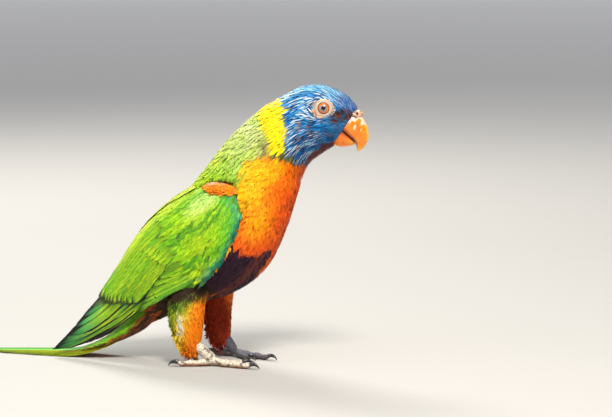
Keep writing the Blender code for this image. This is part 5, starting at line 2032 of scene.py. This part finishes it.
def make_cere(material):
    """The soft swelling over the bill's base: cream with brown marks, and dark nostrils."""
    polar = np.linspace(0.02, math.pi - 0.02, 60)[:, None]
    around = turns(90)
    sphere = triple(np.sin(polar) * np.cos(around), np.sin(polar) * np.sin(around), np.cos(polar))
    shape = sphere * np.array(CERE_RADII)
    bumps, fine_bumps = ripple(shape, 2.2, 61), ripple(shape, 0.9, 65)
    points = shape * (1 + 0.07 * bumps + 0.05 * fine_bumps)[..., None] + np.array(CERE_CENTRE)
    colour = mix(CERE_CREAM, CERE_PINK, smooth(-0.2, 0.5, ripple(shape, 1.3, 62)))
    dark_base = smooth(0.25, -0.5, shape[..., 0] / CERE_RADII[0] + 0.5 * ripple(shape, 1.0, 63))
    colour = mix(colour, CERE_DARK, dark_base * 0.85)
    colour = mix(colour, CERE_BROWN, smooth(0.35, 0.7, ripple(shape, 0.8, 64)) * 0.8)
    for side in (-1, 1):
        far = np.linalg.norm(points - on_side(NOSTRIL_CENTRE, side), axis=2)
        pull = bell(far, 1.15, 4)
        points = points - unit(points - np.array(CERE_CENTRE)) * (pull * 1.1)[..., None]
        colour = mix(colour, NOSTRIL_DARK, bell(far, 1.25, 4))
    return ring_piece("cere_skin", points, colour, material)


# Feet.


def resample(points, radii, step):
    """A smooth path through points, with a ring every step millimetres."""
    points, radii = np.array(points), np.array(radii)
    dense = np.linspace(0, len(points) - 1, 400)
    path, width = between(points, dense), between(radii[:, None], dense)[:, 0]
    run = np.concatenate([[0], np.cumsum(np.linalg.norm(np.diff(path, axis=0), axis=1))])
    marks = np.arange(0, run[-1] + step / 2, step)
    place = np.stack([np.interp(marks, run, path[:, k]) for k in range(3)], axis=1)
    return place, np.interp(marks, run, width), marks


def tube_points(path, radii, relief):
    """Rings round a path, the first column on top; relief is a height for each point of them.
    They are pressed flat where they would sink into the floor."""
    run = unit(np.gradient(path, axis=0))
    side = unit(np.cross(run, UP))
    up = np.cross(side, run)
    around = turns(relief.shape[1])
    radius = radii[:, None] + relief
    rings = (
        path[:, None]
        + up[:, None] * (radius * np.cos(around))[..., None]
        + side[:, None] * (radius * np.sin(around))[..., None]
    )
    rings[..., 2] = np.maximum(rings[..., 2], SOLE_HEIGHT)
    return rings


def toe_path(side_name, heading, length, root_radius, end_radius):
    """Places and radii along a toe, which swells over its three joints."""
    side = SIDES[side_name]
    start = on_side(FOOT_CENTRES[side_name], side)
    turn = math.radians(heading + FOOT_TURNS[side_name])
    forward = np.array((math.cos(turn), side * math.sin(turn), 0.0))
    points, radii = [start], [root_radius]
    for k in range(1, 10):
        t = k / 9
        radius = (root_radius + (end_radius - root_radius) * t) * (1 + 0.10 * math.cos(math.tau * 3 * t))
        height = radius - SOLE_HEIGHT
        point = start + forward * length * t
        point[2] = height + (start[2] - height) * max(0.0, 1 - 3 * t)
        points.append(point)
        radii.append(radius)
    points[-1][2] += TOE_LIFT
    radii[-1] = CLAW_RADIUS + CLAW_TIP
    return points, radii


def scutes(marks, sides, size, strength):
    """Plates across the top of a toe, and small round scales on its sides and sole."""
    around = turns(sides)
    top = smooth(-0.15, 0.35, np.cos(around))[None]
    phase = marks / size
    saw = np.abs(2 * (phase - np.floor(phase)) - 1)
    plates = (1 - saw**4)[:, None]
    beads = np.cos(marks[:, None] * math.tau / (size * 0.8) + (np.floor(around / 0.5) % 2) * math.pi)
    beads = 0.5 + 0.5 * beads * np.cos(around * 6.3)[None] ** 2
    return strength * (top * plates + (1 - top) * beads - 0.6)


# Foot colours on top and underneath: the undersides are painted darker as shade, and the far (left) foot
# is painted darker and greyer, as in shade.
FOOT_PALE = {"right": srgb(230, 218, 196), "left": srgb(88, 92, 106)}
FOOT_UNDER_SHADE = {"right": srgb(176, 104, 52), "left": srgb(84, 74, 74)}
FOOT_BROWN, FOOT_DARK = srgb(150, 112, 78), srgb(84, 72, 68)
FOOT_COLUMNS, FOOT_STEP = 32, 0.3
CLAW_ROWS, CLAW_COLUMNS = 40, 28
CLAW_GREY, CLAW_BLACK = srgb(70, 62, 60), srgb(24, 22, 26)


def foot_colour(points, height, side_name):
    """Pale on top, with painted shade of brown to orange underneath and in the grooves between the
    scales, and dark flecks; the far foot is painted greyer, as in shade.
    """
    fine, broad = ripple(points, 1.1, 71), ripple(points, 5.0, 72)
    # Painted shade: paler on top than underneath.
    upper = smooth(0.5, 2.4, points[..., 2] + 0.5 * broad)
    colour = layers(
        FOOT_UNDER_SHADE[side_name],
        (FOOT_PALE[side_name], upper),
        (FOOT_BROWN, smooth(0.3, 0.9, ripple(points, 0.7, 73)) * 0.6),
        (FOOT_DARK, smooth(0.45, 0.9, fine) * 0.8),
    )
    # Painted shade where the scales sink.
    return colour * (0.72 + 0.28 * smooth(-0.1, 0.1, height))[..., None]


def make_foot(side_name, material):
    """The shank and the four toes, with scales, in one piece."""
    side = SIDES[side_name]
    ankle, centre = on_side(ANKLES[side_name], side), on_side(FOOT_CENTRES[side_name], side)
    top = ankle + unit(ankle - centre) * SHANK_TOP
    shank = ([top, ankle, ankle + (centre - ankle) * 0.55, centre], [2.7, 3.0, 3.2, 2.5])
    lengths = [shank, *(toe_path(side_name, *facts) for facts in TOES.values())]
    across = np.arange(FOOT_COLUMNS) / FOOT_COLUMNS
    all_points, all_colours, all_uvs, all_corners, all_sizes = [], [], [], [], []
    base = 0
    for number, (points, radii) in enumerate(lengths):
        path, width, marks = resample(points, radii, FOOT_STEP)
        tail = np.clip((marks[-1] - marks) / 1.2, 0, 1)
        scute_size = 1.5 if number else 1.8
        relief = scutes(marks, FOOT_COLUMNS, scute_size, 0.21) * tail[:, None]
        rings = tube_points(path, width * 0.97 * np.sqrt(0.35 + 0.65 * tail), relief)
        corners, sizes = ring_faces(len(rings), FOOT_COLUMNS)
        all_corners.append(corners + base)
        all_sizes.append(sizes)
        base += rings[..., 0].size
        all_points.append(rings.reshape(-1, 3))
        all_colours.append(foot_colour(rings, relief, side_name).reshape(-1, 3))
        uvs = grid_uvs(len(rings), (number + 0.02 + 0.96 * across) / len(lengths))
        all_uvs.append(uvs.reshape(-1, 2))
    foot = mesh_piece(
        f"foot_skin_{side_name}",
        np.concatenate(all_points),
        (np.concatenate(all_corners), np.concatenate(all_sizes)),
        np.concatenate(all_colours),
        material,
        np.concatenate(all_uvs),
    )
    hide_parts(f"foot_{side_name}")


def make_claw(side_name, toe, material):
    """A tapering horn that bends down in an arc from the toe's end, flatter underneath."""
    points, _ = toe_path(side_name, *TOES[toe])
    end, before = points[-1], points[-2]
    aim = unit(end - before)
    forward = unit(np.array((aim[0], aim[1], 0.0)))
    first, last = math.asin(aim[2]), math.radians(CLAW_END_ANGLE)
    start = end + aim * CLAW_GAP * 0.2
    t = np.linspace(0, 1, CLAW_ROWS)
    angle = first + (last - first) * t
    run = CLAW_CURVE * (math.sin(first) - np.sin(angle))
    rise = CLAW_CURVE * (np.cos(angle) - math.cos(first))
    path = start + forward * run[:, None] + UP * rise[:, None]
    radii = CLAW_RADIUS * (1 - t) ** 0.8 + CLAW_TIP
    under = bell(turns(CLAW_COLUMNS) - math.pi, 0.7)
    rings = tube_points(path, radii, -0.12 * radii[:, None] * under[None])
    colour = mix(CLAW_GREY, CLAW_BLACK, smooth(0.0, 0.4, t)[:, None])
    name = f"claw_{side_name}_{toe}"
    claw = ring_piece(f"{name}_horn", rings, colour, material)
    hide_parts(name)


# Stage.

CAMERA_TARGET = (56.0, 0.0, 95.0)
CAMERA_AZIMUTH, CAMERA_ELEVATION, CAMERA_DISTANCE = 14.0, 7.0, 1600.0
CAMERA_LENS, SENSOR_WIDTH = 157.0, 36.0
FLOOR_RADIUS = 30.0  # metres


FLOOR_COLUMNS, FLOOR_DROP = 96, -0.0002
FLOOR_NEAR, FLOOR_FAR = (0.5, 0.485, 0.46, 1), (0.95, 0.93, 0.9, 1)
DAY_COLOUR, DAY_STRENGTH = (0.86, 0.9, 1.0, 1), 0.32
SUN_STRENGTH, SUN_SPREAD, SUN_TILT = 0.7, 60, 25
# Lamps: place in metres, size, power and colour.
LIGHTS = {
    "key": ((0.45, -0.75, 1.2), 0.35, 23.0, (1.0, 0.95, 0.86)),
    "fill": ((-1.1, -0.9, 0.6), 1.2, 4.5, (0.9, 0.95, 1.0)),
    "rim": ((-0.55, 0.85, 1.1), 0.5, 16.0, (1.0, 0.97, 0.9)),
}


def make_floor():
    """A wide disc, painted grey round the bird, where the lamps light it most, and nearly white farther
    off, where only the daylight reaches, so that it looks evenly lit.
    """
    material, tree, shader = new_material("floor", 0.8)
    place = add_node(tree, "ShaderNodeTexCoord").outputs["Object"]
    reach = add_node(tree, "ShaderNodeVectorMath", {0: place}, operation="LENGTH")
    facts = {"Value": reach.outputs["Value"], "From Max": 5.0}
    share = add_node(tree, "ShaderNodeMapRange", facts)
    ramp = add_node(tree, "ShaderNodeValToRGB", {"Fac": share.outputs["Result"]})
    near, far = ramp.color_ramp.elements
    near.color, near.position, far.color = FLOOR_NEAR, 0.12, FLOOR_FAR
    tree.links.new(ramp.outputs["Color"], shader.inputs["Base Color"])
    mesh = bpy.data.meshes.new("floor")
    around = turns(FLOOR_COLUMNS)
    ring = triple(np.cos(around), np.sin(around), 0.0) * FLOOR_RADIUS
    mesh.from_pydata(ring.tolist(), [], [tuple(range(FLOOR_COLUMNS))])
    mesh.materials.append(material)
    floor = add_to_scene("floor", mesh)
    floor.location.z = FLOOR_DROP


def make_stage():
    """Floor, daylight from all round, three lamps and the camera."""
    make_floor()
    scene = bpy.context.scene
    scene.world = bpy.data.worlds.new("studio")
    scene.world.use_nodes = True
    background = scene.world.node_tree.nodes["Background"]
    background.inputs["Color"].default_value = DAY_COLOUR
    background.inputs["Strength"].default_value = DAY_STRENGTH
    day = bpy.data.lights.new("day", "SUN")
    day.energy, day.angle = SUN_STRENGTH, math.radians(SUN_SPREAD)
    add_to_scene("day", day).rotation_euler = (math.radians(SUN_TILT), 0, 0)
    target = Vector(to_model(np.array(CAMERA_TARGET)))
    for name, (place, size, power, tint) in LIGHTS.items():
        light = bpy.data.lights.new(name, "AREA")
        light.size, light.energy, light.color = size, power, tint
        lamp = add_to_scene(name, light)
        lamp.location = place
        lamp.rotation_euler = (target - lamp.location).to_track_quat("-Z", "Y").to_euler()
    azimuth, elevation = math.radians(CAMERA_AZIMUTH), math.radians(CAMERA_ELEVATION)
    out = math.cos(elevation)
    direction = Vector((math.sin(azimuth) * out, -math.cos(azimuth) * out, math.sin(elevation)))
    lens = bpy.data.cameras.new("camera")
    lens.lens, lens.sensor_width = CAMERA_LENS, SENSOR_WIDTH
    scene.camera = add_to_scene("camera", lens)
    scene.camera.location = target + direction * CAMERA_DISTANCE * MM
    scene.camera.rotation_euler = (-direction).to_track_quat("-Z", "Y").to_euler()
    scene.view_settings.view_transform = "Standard"


# The bird.

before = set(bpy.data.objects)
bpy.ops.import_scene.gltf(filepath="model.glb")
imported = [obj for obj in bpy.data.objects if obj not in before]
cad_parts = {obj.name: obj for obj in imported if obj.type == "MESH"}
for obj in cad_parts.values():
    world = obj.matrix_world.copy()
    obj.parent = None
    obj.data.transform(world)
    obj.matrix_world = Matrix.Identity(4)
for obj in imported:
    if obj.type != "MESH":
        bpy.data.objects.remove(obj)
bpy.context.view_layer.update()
eye_low = [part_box(f"eye_{name}") for name in SIDES]
eye_middle = sum((np.array(low) + np.array(high) for low, high in eye_low), np.zeros(3)) / 4
OFFSET = eye_middle / MM - np.array((EYE_CENTRE[0], 0.0, EYE_CENTRE[2]))

make_stage()
coat = feather_material("coat", 0.6, 0.5, 0.14, 0.26, 0.03)
head_coat_material = feather_material("head_feather", 0.5, 0.35, 0.08, 0.2, 0.0)
flight = feather_material("flight_feather", 0.45, 0.5, 0.14, 0.3, 0.02)
skin_look = skin_material("skin", 0.7, 0.9, 0.1, 0.15)
lid_look = skin_material("lid", 0.5, 0.5, 0.08, 0.18)
foot_look = skin_material("foot", 0.6, 0.55, 0.12, 0.22)
bill_look = horn_material("bill", 0.3, 3.0, 0.06, 0.08, Coat_Weight=0.4, Coat_Roughness=0.2)
claw_look = horn_material("claw", 0.3, 1.5, 0.05, 0.15, Coat_Weight=0.3)

body = body_surface()
thighs = {name: thigh_surface(name) for name in SIDES}
skin = make_skin(body, thighs, skin_look)
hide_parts("head", "neck", "torso", "thigh_right", "thigh_left")
head = make_head_coat(body, head_coat_material)
for piece in make_body_coat(body, coat):
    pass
for name in SIDES:
    make_thigh_coat(name, thighs[name], coat)
    wing_pieces = make_wing(name, flight, coat)
    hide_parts(f"wing_{name}")
    make_eye(name)
    make_lids(name, lid_look)
    make_ring_feathers(body, name, head_coat_material)
    make_foot(name, foot_look)
    for toe in TOES:
        make_claw(name, toe, claw_look)
tail_pieces = make_tail(flight, coat)
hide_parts("tail")
make_bill("upper_bill", UPPER_BILL, (0, 1), (2, 3), bill_look, upper_paint)
make_bill("lower_bill", LOWER_BILL, (2, 3), (0, 1), bill_look, lower_paint)
make_cere(lid_look)
